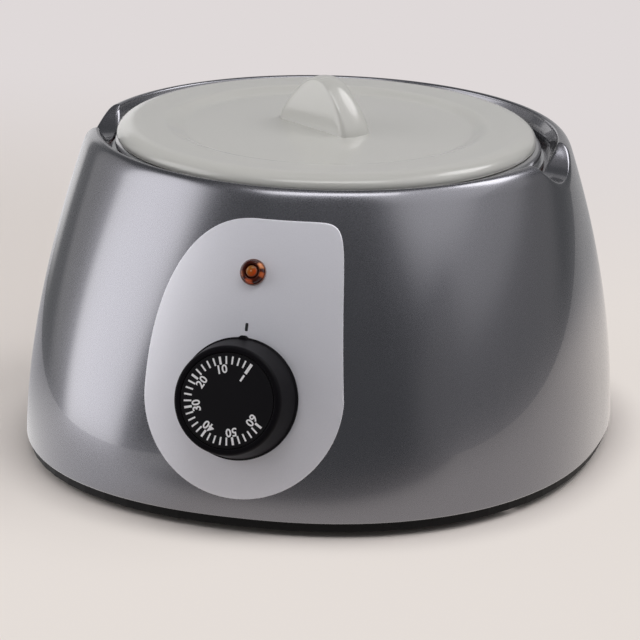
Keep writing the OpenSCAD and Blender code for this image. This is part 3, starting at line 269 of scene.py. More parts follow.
def lacquer(name, colour):
    """Silver lacquer: metal flakes under a clear coat."""
    p = Paint(name)
    flakes = p.node("ShaderNodeTexVoronoi", None, {"Vector": p.coords(), "Scale": 2600.0}, "Color")
    flake = p.node("ShaderNodeSeparateColor", None, {"Color": flakes})
    cloud = p.noise(16.0, 3.0)
    tone = p.clamped(flake * 0.55 + cloud * 0.45)
    peel = p.noise(520.0, 1.0)
    wipe = p.noise(1.0, 3.0, p.stretched((90.0, 90.0, 14.0)))
    return p.finish(
        Base_Color=p.varied(colour, 0.06, tone), Metallic=1.0,
        Roughness=0.26 + flake * 0.03 + (wipe - 0.5) * 0.05,
        Coat_Weight=0.94 + wipe * 0.06, Coat_Roughness=0.045, Coat_IOR=1.5,
        Normal=p.bump(peel, 0.0000035))


def gloss_plastic(name, colour):
    """Smooth moulded plastic with a faint swirl and a soft sheen."""
    p = Paint(name)
    swirl = p.noise(9.0, 4.0)
    grain = p.noise(1500.0, 1.0)
    smear = p.noise(1.0, 3.0, p.stretched((38.0, 12.0, 30.0)))
    return p.finish(
        Base_Color=p.varied(colour, 0.025, swirl), Roughness=0.17 + smear * 0.08 + grain * 0.03,
        Specular_IOR_Level=0.30, Coat_Weight=0.6, Coat_Roughness=0.05,
        Normal=p.bump(grain, 0.000004))


def label_film(name, colour):
    """Satin printed film with fine metallic speckle."""
    p = Paint(name)
    speckle = p.noise(2400.0, 1.0)
    cloud = p.noise(22.0, 3.0)
    return p.finish(
        Base_Color=p.varied(colour, 0.06, p.clamped(speckle * 0.6 + cloud * 0.4)),
        Metallic=0.25, Roughness=0.36 + speckle * 0.10, Coat_Weight=0.35, Coat_Roughness=0.22,
        Normal=p.bump(speckle, 0.000005))


def moulded(name, colour, roughness, grain, depth, coat=0.0, gleam=0.5):
    """Moulded plastic or rubber with a fine grain and uneven gloss."""
    p = Paint(name)
    cloud = p.noise(30.0, 3.0)
    fine = p.noise(grain, 2.0)
    return p.finish(
        Base_Color=p.varied(colour, 0.12, cloud),
        Roughness=p.clamped(roughness - 0.05 + fine * 0.07 + cloud * 0.04),
        Specular_IOR_Level=gleam, Coat_Weight=coat, Coat_Roughness=0.12, Normal=p.bump(fine, depth))


def spun_metal(name, colour, roughness, rings=2600.0, depth=0.000004):
    """Metal turned on a lathe: fine rings about the upright axis."""
    p = Paint(name)
    flat = p.stretched((1.0, 1.0, 0.0))
    radius = p.node("ShaderNodeVectorMath", {"operation": "LENGTH"}, {0: flat}, "Value")
    groove = p.node("ShaderNodeTexNoise", {"noise_dimensions": "1D"}, {
        "W": radius + p.along("Z") * 0.73, "Scale": rings, "Detail": 3.0})
    cloud = p.noise(18.0, 4.0)
    return p.finish(
        Base_Color=p.varied(colour, 0.08, cloud), Metallic=1.0,
        Roughness=p.clamped(roughness - 0.07 + groove * 0.10 + cloud * 0.06),
        Normal=p.bump(groove, depth))


def plain_metal(name, colour, roughness, stain=0.10):
    """Pressed or plated metal with rolling marks and slight stains."""
    p = Paint(name)
    roll = p.noise(1.0, 3.0, p.stretched((1400.0, 90.0, 1400.0)))
    patch = p.noise(70.0, 4.0)
    return p.finish(
        Base_Color=p.varied(colour, stain, patch), Metallic=1.0,
        Roughness=p.clamped(roughness - 0.08 + roll * 0.12 + patch * 0.06),
        Normal=p.bump(roll, 0.000006))


def matted(name, colour):
    """Fibre blanket: matted strands and pits, with painted shade where the bump is low."""
    p = Paint(name)
    strands = p.noise(1.0, 5.0, p.stretched((900.0, 900.0, 260.0)))
    pits = p.noise(420.0, 4.0)
    return p.finish(
        # Painted shade: darker where strands and pits lie low in the bump
        Base_Color=p.mix(shaded(colour, -0.35), colour, p.clamped(strands * 0.7 + pits * 0.5)),
        Roughness=0.92 + strands * 0.06, Normal=p.bump(strands + pits * 0.6, 0.0003))


def sleeve(name, colour, stripe=None):
    """Wire sleeve: smooth and slightly waxy, with a second colour where one is given."""
    p = Paint(name)
    cloud = p.noise(240.0, 2.0)
    base = p.varied(colour, 0.08, cloud)
    if stripe:
        band = p.node("ShaderNodeTexWave", {"bands_direction": "DIAGONAL"}, {
            "Vector": p.coords(), "Scale": 90.0, "Distortion": 0.4})
        base = p.mix(base, stripe, p.step(band, 0.45, 0.55))
    return p.finish(Base_Color=base, Roughness=0.34 + cloud * 0.08, Normal=p.bump(cloud, 0.00001))


def amber_glass(name, colour, place, radius):
    """Amber lens: a dark ring round a middle of painted light, with painted highlights on the middle's edge,
    at its centre and at the lens's edge.
    """
    p = Paint(name)
    inverse = place.inverted()
    rows = [p.node("ShaderNodeVectorMath", {"operation": "DOT_PRODUCT"},
                   {0: p.coords(), 1: tuple(inverse[i][:3])}, "Value") + inverse[i][3] for i in (0, 1)]
    x, y = (r / radius for r in rows)
    out = (x * x + y * y) ** 0.5
    cloud = p.noise(1.0, 2.0, p.stretched((420.0, 420.0, 420.0)))
    # Painted light: the middle's two ambers are a lighter and a dimmer copy, standing in for light through
    # the lens
    dark, painted_glow_dim, painted_glow_lit = (0.050, 0.0055, 0.0012), (0.27, 0.095, 0.010), (0.50, 0.060, 0.006)
    # Painted highlights: a pale ring round the middle and a glint at the centre
    painted_halo, painted_glint, flange = (0.42, 0.20, 0.13), (0.55, 0.36, 0.22), (0.50, 0.37, 0.35)
    # Painted highlights: lighter spots on the lens's edge, each at its own turn
    painted_edge_spots = ((38.0, 0.92, (0.74, 0.26, 0.09)), (-14.0, 0.95, (0.56, 0.12, 0.03)),
               (-100.0, 0.89, (0.60, 0.11, 0.035)), (-160.0, 0.92, shaded(colour, -0.62)))
    bead = 1.0 - p.step(out, 0.40, 0.50)
    # Painted light: the middle turns from the dimmer to the lighter amber towards one side
    painted_glow = p.step(x * 0.8 - y * 0.6 + (cloud - 0.5) * 0.8, -0.25, 0.30)
    base = p.mix(dark, p.mix(painted_glow_dim, painted_glow_lit, painted_glow), bead)
    # Painted highlight: a pale ring at the edge of the middle
    base = p.mix(base, painted_halo, p.step(out, 0.40, 0.46) * (1.0 - p.step(out, 0.46, 0.54)) * 0.5)
    # Painted glint at the centre
    base = p.mix(base, painted_glint, (1.0 - p.step(out, 0.02, 0.12)) * 0.7)
    band = p.step(out, 0.66, 0.82) * (1.0 - p.step(out, 0.96, 1.06))
    # Painted highlights on the edge band, one for each turn
    for turn, edge, painted_spot_tone in painted_edge_spots:
        a = math.radians(turn)
        toward = (x * math.cos(a) + y * math.sin(a)) / (out + 0.001)
        base = p.mix(base, painted_spot_tone, p.step(toward, edge, 0.995) * band)
    base = p.mix(base, flange, p.step(out, 1.03, 1.12) * 0.7)
    return p.finish(Base_Color=base, Roughness=0.16 + cloud * 0.06, Specular_IOR_Level=0.25,
                    Coat_Weight=0.15, Coat_Roughness=0.04, Normal=p.bump(cloud, 0.00001))


def around(sides):
    """Turns round a full circle, in equal steps."""
    return np.linspace(0.0, 2 * math.pi, sides, endpoint=False)


def ring(turns, reach, z):
    """A level ring of points about the upright axis."""
    return np.stack([reach * np.cos(turns), reach * np.sin(turns), np.full_like(turns, z)], axis=-1)


def wall_axes(z):
    """Half width, half depth and power of the casing's outline at a height."""
    c = bpy.context.scene.tank_casing
    climb = np.clip((z - c.foot_height) / (c.shoulder_height - c.foot_height), 0.0, 1.0)
    flare = 1.0 - climb ** c.flare_power
    return (c.rim_radius + (c.base_half_width - c.rim_radius) * flare,
            c.rim_radius + (c.base_half_depth - c.rim_radius) * flare,
            2.0 + (c.foot_power - 2.0) * flare)


def wall_ring(turns, z, inset):
    """Points of the casing's outline at a height, moved in by an inset."""
    half_w, half_d, power = wall_axes(z)
    reach = ((np.abs(np.cos(turns)) / (half_w - inset)) ** power
             + (np.abs(np.sin(turns)) / (half_d - inset)) ** power) ** (-1.0 / power)
    return ring(turns, reach, z)


def rim_ring(turns, s):
    """Points of the rim, which leaves along the wall's slope and ends level at its crest."""
    c = bpy.context.scene.tank_casing
    rise, pull = c.rim_height - c.shoulder_height, 0.55
    below = wall_ring(turns, c.shoulder_height - PROBE, 0.0)
    first = pull * rise * (np.hypot(below[:, 0], below[:, 1]) - c.rim_radius) / PROBE
    last = c.rim_roll - pull * (c.rim_roll - first)
    one, two, three = 3 * s * (1 - s) ** 2, 3 * s * s * (1 - s), s ** 3
    reach = c.rim_radius - one * first - two * last - three * c.rim_roll
    return ring(turns, reach, c.shoulder_height + rise * (one * pull + two + three))


def front_wall(x, z, proud):
    """Points at a distance before the casing's front wall."""
    half_w, half_d, power = wall_axes(z)
    y = -(half_d + proud) * (1.0 - (np.abs(x) / (half_w + proud)) ** power) ** (1.0 / power)
    return np.stack([x, y, z], axis=-1)


def wall_level(points, proud):
    """How far points lie outside the wall's outline: 0 on it."""
    half_w, half_d, power = wall_axes(points[:, 2])
    return ((np.abs(points[:, 0]) / (half_w + proud)) ** power
            + (np.abs(points[:, 1]) / (half_d + proud)) ** power) ** (1.0 / power) - 1.0


def wall_normals(points, proud):
    """Outward directions of the wall at points on it."""
    h = 1e-5
    slopes = np.stack([wall_level(points + h * axis, proud) - wall_level(points - h * axis, proud)
                       for axis in np.eye(3)], axis=-1)
    return slopes / np.linalg.norm(slopes, axis=1, keepdims=True)


def wall_place(z):
    """Frame on the middle of the front wall: +Z outward, +Y up the wall."""
    here, below, above = (float(wall_axes(z + step)[1]) for step in (0.0, -PROBE, PROBE))
    tilt = math.atan((below - above) / (2 * PROBE))
    return Matrix.Translation((0.0, -here, z)) @ Matrix.Rotation(math.pi / 2 - tilt, 4, "X")


def gland_place():
    """Frame on the middle of the back wall at the cable gland: +Z outward."""
    back = float(wall_axes(GLAND_HEIGHT)[1])
    return Matrix.Translation((0.0, back, GLAND_HEIGHT)) @ Matrix.Rotation(-math.pi / 2, 4, "X")


def eased(points, steps=5):
    """A profile whose corners are rounded: each point may carry the length of its round."""
    made = []
    count = len(points)
    for i, point in enumerate(points):
        here = np.array(point[:2])
        size = point[2] if len(point) > 2 else 0.0
        if not size:
            made.append(tuple(here))
            continue
        before, after = (np.array(points[(i + k) % count][:2]) for k in (-1, 1))
        start = here + (before - here) * min(0.49, size / np.linalg.norm(before - here))
        end = here + (after - here) * min(0.49, size / np.linalg.norm(after - here))
        for s in np.linspace(0.0, 1.0, steps + 1):
            made.append(tuple((1 - s) ** 2 * start + 2 * s * (1 - s) * here + s * s * end))
    return made


def skin(rings, wrap=True):
    """Mesh through rings of points; with wrap the last ring is joined to the first."""
    rows, columns = rings.shape[:2]
    index = np.arange(rows * columns).reshape(rows, columns)
    low, high = (index, np.roll(index, -1, axis=0)) if wrap else (index[:-1], index[1:])
    quads = np.stack([low, np.roll(low, -1, axis=1), np.roll(high, -1, axis=1), high], axis=-1)
    return welded(rings.reshape(-1, 3), quads.reshape(-1, 4))


def welded(points, faces):
    """Mesh from points and faces, with doubles joined and faces turned outward."""
    mesh = bpy.data.meshes.new("skin")
    mesh.from_pydata([tuple(p) for p in points], [], [tuple(f) for f in faces])
    edit = bmesh.new()
    edit.from_mesh(mesh)
    bmesh.ops.remove_doubles(edit, verts=edit.verts, dist=1e-7)
    bmesh.ops.recalc_face_normals(edit, faces=edit.faces)
    edit.to_mesh(mesh)
    edit.free()
    return mesh


def lathed(profile, place, sides, wave=None):
    """Mesh of a closed profile turned about the place's Z axis; wave changes its reach."""
    turns = around(sides)
    mesh = skin(np.array([ring(turns, r * (np.ones(sides) if wave is None else wave(r, z, turns)), z)
                          for r, z in profile]))
    if place is not None:
        mesh.transform(place)
    return mesh


def pillar(radius, low, high, place, sides=96):
    """Closed round bar between two heights along a place's Z axis."""
    return lathed([(0.0, low), (radius, low), (radius, high), (0.0, high)], place, sides)


def grid(name, rows):
    """Mesh of a sheet through rows of points."""
    high, wide = rows.shape[:2]
    index = np.arange(high * wide).reshape(high, wide)
    quads = np.stack([index[:-1, :-1], index[:-1, 1:], index[1:, 1:], index[1:, :-1]], axis=-1)
    mesh = bpy.data.meshes.new(name)
    mesh.from_pydata([tuple(p) for p in rows.reshape(-1, 3)], [], [tuple(q) for q in quads.reshape(-1, 4)])
    return mesh


def gathered(meshes):
    """One mesh from several, which are used up."""
    edit = bmesh.new()
    for mesh in meshes:
        edit.from_mesh(mesh)
        bpy.data.meshes.remove(mesh)
    whole = bpy.data.meshes.new("gathered")
    edit.to_mesh(whole)
    edit.free()
    return whole


def loose(name, mesh):
    """An object in the scene for a mesh."""
    obj = bpy.data.objects.new(name, mesh)
    bpy.context.scene.collection.objects.link(obj)
    return obj


def joined(obj, tool_mesh, operation):
    """Adds a tool to an object's mesh or cuts it out."""
    tool = loose("tool", tool_mesh)
    step = obj.modifiers.new("join", "BOOLEAN")
    step.object, step.operation, step.solver = tool, operation, "EXACT"
    mesh = bpy.data.meshes.new_from_object(obj.evaluated_get(bpy.context.evaluated_depsgraph_get()))
    obj.modifiers.clear()
    old, obj.data = obj.data, mesh
    for spent in (old, tool_mesh):
        bpy.data.meshes.remove(spent)
    if len(mesh.polygons) < 12:
        raise RuntimeError("The skin of " + obj.name + " was lost in a join")


def dressed(obj, material, body, nodes=(), crease=32.0):
    """Gives a piece its finish, its body and the nodes that it stands for."""
    obj.data.name = obj.name
    obj.data.materials.clear()
    obj.data.materials.append(material)
    obj.data.shade_smooth()
    obj.data.set_sharp_from_angle(angle=math.radians(crease))
    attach(obj, body)
    if nodes:
        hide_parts(*nodes)


def listed(items, key, kind, width=1):
    """One value of all the items of a mesh, as an array."""
    values = np.empty(len(items) * width, dtype=kind)
    items.foreach_get(key, values)
    return values


def wall_shading(obj, proud, low, high):
    """Exact smooth shading where a mesh follows the wall."""
    mesh = obj.data
    places = listed(mesh.vertices, "co", float, 3).reshape(-1, 3)
    height = places[:, 2]
    on_wall = (np.abs(wall_level(places, proud)) < 2e-5) & (height > low) & (height < high)
    corners = listed(mesh.loops, "vertex_index", np.int32)
    starts = listed(mesh.polygons, "loop_start", np.int32)
    whole = np.minimum.reduceat(on_wall[corners].astype(np.int8), starts) > 0
    chosen = np.repeat(whole, listed(mesh.polygons, "loop_total", np.int32))
    normals = np.zeros((len(corners), 3))
    normals[chosen] = wall_normals(places[corners[chosen]], proud)
    mesh.normals_split_custom_set([tuple(n) for n in normals])


class TankOperator:
    """What the operators of this file share."""
    bl_options = {"REGISTER", "UNDO"}

    def execute(self, context):
        self.build(context.scene)
        return {"FINISHED"}


class BuildCasing(TankOperator, bpy.types.Operator):
    """Builds the moulded casing with its rounded rim, ledge, finger scoops, pads and posts"""
    bl_idname = "melting_tank.casing"
    bl_label = "Casing"

    # Round seats and cuts: radius, then the lowest and highest level along their axis
    KNOB_SEAT, KNOB_CUT = (0.0232, -0.005, -0.002), (KNOB_HOLE, -0.002, 0.003)
    LAMP_SEAT, LAMP_CUT = (0.007, -0.0032, -0.0006), (0.004, -0.006, 0.006)
    POST, SCREW_CUT = (0.005, 0.0, 0.022), (0.00155, -0.001, 0.012)
    SHAFT_CUT, BRACKET_CUT = (0.0051, -0.006, -0.001), (0.002, -0.006, -0.001)
    GLAND_CUT = (0.0081, -0.009, 0.005)
    GLAND_PAD = ((0.0, -0.0058), (0.013, -0.0058), (0.013, 0.0022, 0.0008), (0.0, 0.0022))
    BRACKET_REACH = 0.0142                 # Distance of the bracket's holes from the knob's axis
    POST_TURNS = (38.0, 142.0, 218.0, 322.0)
    POST_INSET = 0.0035                    # Distance of the posts' axes from the wall's inside
    FINE_FROM, SHADED_TO = 0.110, 0.1095   # Heights: closer rings begin, exact shading ends
    SCOOP_SOFT = 0.0034                    # Depth over which the scoops' edges are softened

    def build(self, scene):
        c, panel = scene.tank_casing, scene.tank_panel
        casing = loose("casing_shell", skin(self.rings(c)))
        front, lamp = wall_place(panel.knob_height), wall_place(panel.lamp_height)
        gland, posts = gland_place(), self.posts(c)
        seats = [pillar(*self.KNOB_SEAT, front), pillar(*self.LAMP_SEAT, lamp),
                 lathed(eased(self.GLAND_PAD), gland, 96)]
        joined(casing, gathered(seats + [pillar(*self.POST, p, 48) for p in posts]), "UNION")
        cuts = [pillar(*self.KNOB_CUT, front, 144), pillar(*self.LAMP_CUT, lamp),
                pillar(*self.GLAND_CUT, gland)]
        joined(casing, gathered(cuts + [pillar(*self.SCREW_CUT, p, 32) for p in posts]), "DIFFERENCE")
        cuts = [pillar(*self.BRACKET_CUT, front @ Matrix.Translation((x, 0.0, 0.0)), 48)
                for x in (-self.BRACKET_REACH, self.BRACKET_REACH)]
        joined(casing, gathered(cuts + [pillar(*self.SHAFT_CUT, front)]), "DIFFERENCE")
        dressed(casing, lacquer("silver_lacquer", c.colour), "casing", ["casing"])
        wall_shading(casing, 0.0, c.foot_height + 0.0006, self.SHADED_TO)

    def rings(self, c):
        """Rings of the shell, up the outside, over the rim and down the inside."""
        fine = np.radians(np.arange(-25.0, 10.0, 0.25))
        turns = np.concatenate([fine, np.radians(np.arange(10.0, 170.0, 1.25)),
                                np.pi - fine[::-1], np.radians(np.arange(206.25, 335.0, 1.25))])
        foot, rim, ledge = c.foot_height, c.rim_height, c.ledge_height
        edge, notch = c.rim_roll + c.crest_edge, c.ledge_inset - 0.0025
        outside = [(foot, 0.0008), (foot + 0.0003, 0.0003)]
        outside += [(z, 0.0) for z in np.linspace(foot + 0.0008, self.FINE_FROM, 46)]
        outside += [(z, 0.0) for z in np.linspace(self.FINE_FROM, c.shoulder_height, 30)[1:]]
        rolled = [rim_ring(turns, s) for s in np.linspace(0.0, 1.0, 25)[1:]]
        inside = [(rim - c.crest_edge * (1 - math.cos(a)), c.rim_roll + c.crest_edge * math.sin(a))
                  for a in np.linspace(0.0, math.pi / 2, 7)[1:]]
        inside += [(rim - c.crest_edge + (ledge - rim + c.crest_edge) * s,
                    edge + (c.funnel_inset - edge) * s) for s in np.linspace(0.0, 1.0, 22)[1:]]
        upper = len(outside) + len(rolled) + len(inside) - 1
        inside += [(ledge, c.ledge_inset), (ledge - 0.005, c.ledge_inset), (ledge - 0.005, notch),
                   (ledge - 0.003, notch), (ledge - 0.003, c.wall)]
        inside += [(z, c.wall) for z in np.linspace(ledge - 0.003, foot, 18)[1:]]
        rings = np.array([wall_ring(turns, z, inset) for z, inset in outside] + rolled
                         + [wall_ring(turns, z, inset) for z, inset in inside])
        rings[:upper, :, 2] = self.scooped(c, rings[:upper])
        return rings

    def posts(self, c):
        """Places of the screw posts inside the wall."""
        places = []
        for turn in np.radians(self.POST_TURNS):
            wall = wall_ring(np.array([turn]), c.foot_height, c.wall)[0, :2]
            reach = np.linalg.norm(wall) - self.POST_INSET
            places.append(Matrix.Translation((reach * math.cos(turn), reach * math.sin(turn), c.foot_height)))
        return places

    def scooped(self, c, points):
        """Heights of points after the two finger scoops are pressed in, with softened edges."""
        floor, r, slope = c.rim_height - c.scoop_depth, c.scoop_radius, c.scoop_slope
        height, soft = points[..., 2], self.SCOOP_SOFT
        out = np.abs(points[..., 0]) - float(wall_axes(floor)[0])
        room = r ** 2 - (points[..., 1] + c.scoop_forward) ** 2
        groove = floor + r + (-np.sqrt(np.maximum(room, 0.0)) - out * math.sin(slope)) / math.cos(slope)
        groove = np.where(room > 0.0, groove, c.rim_height + r)
        part = np.clip(0.5 + 0.5 * (groove - height) / soft, 0.0, 1.0)
        return groove * (1 - part) + height * part - soft * part * (1 - part)


class BuildLabel(TankOperator, bpy.types.Operator):
    """Builds the panel label, a thin film that follows the front wall, and its index mark"""
    bl_idname = "melting_tank.label"
    bl_label = "Panel label"

    LAMP_HOLE = (0.0043, -0.004, 0.004)   # Radius, lowest and highest level
    EDGE_SOFT = 0.0003                    # Radius of the film's rounded edge

    def build(self, scene):
        panel, soft = scene.tank_panel, self.EDGE_SOFT
        fall = wall_place(panel.knob_height).to_3x3().col[1].z
        glue, top = LABEL_GLUE, LABEL_GLUE + panel.label_thickness
        turns, spread = around(480), np.linspace(0.0, 1.0, 60)
        levels = [(s, 0.0, top) for s in spread[:-1]]
        levels += [(1.0, -soft * (1 - math.sin(a)), top - soft * (1 - math.cos(a)))
                   for a in np.linspace(0.0, math.pi / 2, 6)]
        levels += [(1.0, 0.0, glue)] + [(s, 0.0, glue) for s in spread[::-1][1:]]
        rings = [front_wall(*self.outline(panel, turns, s, pull, fall), proud) for s, pull, proud in levels]
        label = loose("panel_label", skin(np.array(rings)))
        joined(label, pillar(*self.LAMP_HOLE, wall_place(panel.lamp_height)), "DIFFERENCE")
        dressed(label, label_film("label_film", panel.label_colour), "casing", ["front_label"])
        wall_shading(label, top, 0.0, 1.0)
        self.index(top)

    def outline(self, panel, turns, s, pull, fall):
        """Points between the knob's hole and the label's edge, as x and height."""
        cos, sin = np.cos(turns), np.sin(turns)
        power = np.where(sin < 0, 2.0, np.where(cos > 0, 12.0, 2.35))
        rise = np.where(sin < 0, panel.label_radius * fall, panel.label_rise)
        reach = ((np.abs(cos) / panel.label_radius) ** power
                 + (np.abs(sin) / rise) ** power) ** (-1.0 / power)
        hole = KNOB_HOLE * np.hypot(cos, sin * fall)
        r = hole + (reach + pull - hole) * s
        y = r * sin
        lean = np.where((cos > 0) & (y > 0), 1.0 - panel.label_lean * y / panel.label_rise, 1.0)
        return r * cos * lean, panel.knob_height + y

    def index(self, top):
        """The printed mark above the knob."""
        wide, tall, height, ink = 0.0006, 0.0015, 0.0804, 0.00006
        turns = around(48)
        reach = (np.abs(np.cos(turns)) ** 6 + np.abs(np.sin(turns)) ** 6) ** (-1 / 6)
        levels = ((0.0, top + ink), (0.9, top + ink), (1.0, top + ink / 2), (1.0, top), (0.0, top))
        x, z = wide * reach * np.cos(turns), tall * reach * np.sin(turns)
        rings = [front_wall(s * x, height + s * z, proud) for s, proud in levels]
        dressed(loose("index_mark", skin(np.array(rings))),
                moulded("index_ink", (0.010, 0.010, 0.012), 0.45, 2600.0, 0.000004),
                "casing")


class BuildKnob(TankOperator, bpy.types.Operator):
    """Builds the thermostat knob with its dial and its printed scale"""
    bl_idname = "melting_tank.knob"
    bl_label = "Knob and dial"

    ZERO_TURN, SCALE_SWEEP = 60.0, 268.0   # Degrees: where the zero mark stands, and 0 to 60
    GAP = 0.0016                           # Between the wall and the knob's lip
    SEAT, FACE = 0.0009, 0.0003            # Depths of the dial's back and front below the top
    INK = 0.00005                          # Height of the print

    def build(self, scene):
        panel = scene.tank_panel
        place = wall_place(panel.knob_height)
        r, top, face = panel.knob_radius, panel.knob_top, panel.knob_face
        lip_edge, lip_top = r - 0.001, self.GAP + 0.0022

        def nub(r, z, turns):
            """A small raised stop on the lip, at the top."""
            rise = 0.030 if r > lip_edge and z < lip_top else 0.0
            return 1.0 + rise * np.exp(-((turns - math.pi / 2) / 0.065) ** 6)
        dressed(loose("knob_body", lathed(self.knob_profile(r, top, face), place, 288, nub)),
                moulded("knob_black", panel.knob_colour, 0.40, 2200.0, 0.000004, 0.0, 0.04),
                "knob", ["control_knob"])
        back, front, edge = top - self.SEAT, top - self.FACE, face - 0.0004
        disc = eased([(0.0, back), (edge, back), (edge, front, 0.00025), (0.0, front)])
        dressed(loose("dial_disc", lathed(disc, place, 160)),
                moulded("dial_black", shaded(panel.knob_colour, 0.10), 0.42, 2600.0, 0.000005, 0.0, 0.18),
                "knob", ["dial_face"])
        self.scale(panel, place, front)

    def knob_profile(self, r, top, face):
        """Closed outline of the knob: lip, sloping skirt, rounded shoulder, dial seat and hollow."""
        gap, back, shoulder = self.GAP, top - self.SEAT, face + 0.0023
        bore, hub, roof = 0.0031, 0.006, top - 0.0031
        outside = eased([
            (face, gap, 0.0002), (r - 0.0001, gap, 0.0005), (r, gap + 0.0016, 0.0006),
            (r - 0.0008, gap + 0.0021, 0.0006), (shoulder, top - 0.0001, 0.0022), (face, top, 0.0004),
            (face - 0.0003, back), (0.0, back)], 8)
        return outside + [(0.0, top - 0.004), (bore, top - 0.004), (bore, gap + 0.002),
                          (hub, gap + 0.002), (hub, roof), (face, roof)]

    def scale(self, panel, place, height):
        """White ticks, numbers and the zero bar, printed on the dial."""
        ink, strokes = self.INK, []
        for minor in range(31):
            turn = math.radians(self.ZERO_TURN + minor * self.SCALE_SWEEP / 30)
            start, wide = ((0.0129, 0.00062) if minor == 0
                           else (0.0142, 0.00046) if minor % 5 == 0 else (0.0142, 0.00034))
            strokes.append(self.bar(turn, start, 0.0173, wide, height, ink))
        strokes.append(self.bar(math.radians(self.ZERO_TURN), 0.0093, 0.0121, 0.00040, height, ink))
        meshes = [welded(*s) for s in strokes]
        for number in range(10, 70, 10):
            turn = math.radians(self.ZERO_TURN + number * self.SCALE_SWEEP / 60)
            text = bpy.data.curves.new("numeral", "FONT")
            text.body, text.size, text.offset = str(number), 0.0046, 0.00010
            text.align_x, text.align_y = "CENTER", "CENTER"
            text.extrude, text.resolution_u = ink / 2, 3
            written = loose("numeral", text)
            mesh = bpy.data.meshes.new_from_object(
                written.evaluated_get(bpy.context.evaluated_depsgraph_get()))
            bpy.data.objects.remove(written)
            bpy.data.curves.remove(text)
            mesh.transform(Matrix.Rotation(turn - math.pi / 2, 4, "Z")
                           @ Matrix.Translation((0.0, 0.0122, height + ink / 2)))
            meshes.append(mesh)
        marks = gathered(meshes)
        marks.transform(place)
        dressed(loose("dial_marks", marks),
                moulded("dial_white", panel.mark_colour, 0.5, 2600.0, 0.000004), "knob")

    def bar(self, turn, inner, outer, wide, height, ink):
        """One raised tick with slanted sides, as points and faces."""
        points = []
        for level, trim in ((height, 0.0), (height + ink, 0.00004)):
            for along, side in ((inner + trim, -1), (outer - trim, -1), (outer - trim, 1), (inner + trim, 1)):
                across = side * (wide - trim)
                points.append((along * math.cos(turn) - across * math.sin(turn),
                               along * math.sin(turn) + across * math.cos(turn), level))
        sides = [(i, (i + 1) % 4, (i + 1) % 4 + 4, i + 4) for i in range(4)]
        return points, [(3, 2, 1, 0), (4, 5, 6, 7)] + sides


class BuildLamp(TankOperator, bpy.types.Operator):
    """Builds the amber lens of the pilot lamp"""
    bl_idname = "melting_tank.lamp"
    bl_label = "Pilot lamp"

    def build(self, scene):
        panel = scene.tank_panel
        place = wall_place(panel.lamp_height)
        r, low = panel.lamp_radius, LABEL_GLUE + panel.label_thickness
        flange, crown = r + 0.0006, low + 0.0034
        profile = eased([
            (0.0, low), (flange, low, 0.0001), (flange, low + 0.0007, 0.0004), (r, low + 0.0008, 0.0002),
            (r - 0.0003, low + 0.0030, 0.0014), (r - 0.0016, crown, 0.0006),
            (r - 0.0022, low + 0.0020, 0.0006), (r - 0.0026, crown, 0.0006), (0.0, low + 0.0040)], 6)
        dressed(loose("lens_dome", lathed(profile, place, 96)),
                amber_glass("amber_lens", panel.lens_colour, place, r),
                "casing", ["lamp_lens"])


class BuildVessel(TankOperator, bpy.types.Operator):
    """Builds the lift-out tank with its rolled rim"""
    bl_idname = "melting_tank.vessel"
    bl_label = "Tank"

    def build(self, scene):
        v = scene.tank_vessel
        sheet, curl, bend = 0.001, 0.0024, 0.016
        wall, top, floor = v.tank_radius, v.tank_top, v.tank_floor
        floor_r, curl_r = wall - 0.004, v.tank_rim - curl
        quarter = np.linspace(0.0, math.pi / 2, 14)
        outer = [(0.0, floor - sheet)]
        outer += [(floor_r - bend - sheet + (bend + sheet) * math.sin(a),
                   floor - sheet + (bend + sheet) * (1 - math.cos(a))) for a in quarter]
        outer += [(wall - 0.0004, top - 0.012), (wall, top - 0.0032), (wall + 0.0006, top - 0.0014),
                  (wall + 0.0016, top - sheet)]
        under = [(curl_r + curl * math.cos(a), top - curl + curl * math.sin(a))
                 for a in np.linspace(math.radians(145.0), math.radians(450.0), 40)]
        over = [(wall + 0.0012, top), (wall + 0.0002, top - 0.0003), (wall - 0.0006, top - 0.0010),
                (wall - sheet, top - 0.0024), (wall - sheet - 0.0004, top - 0.012)]
        inner = [(floor_r - sheet - bend + bend * math.sin(a), floor + bend * (1 - math.cos(a)))
                 for a in quarter[::-1]] + [(0.0, floor)]
        dressed(loose("tank_bowl", lathed(outer + under + over + inner, None, 240)),
                spun_metal("tank_steel", v.steel_colour, 0.24), "tank", ["tank"], 40.0)


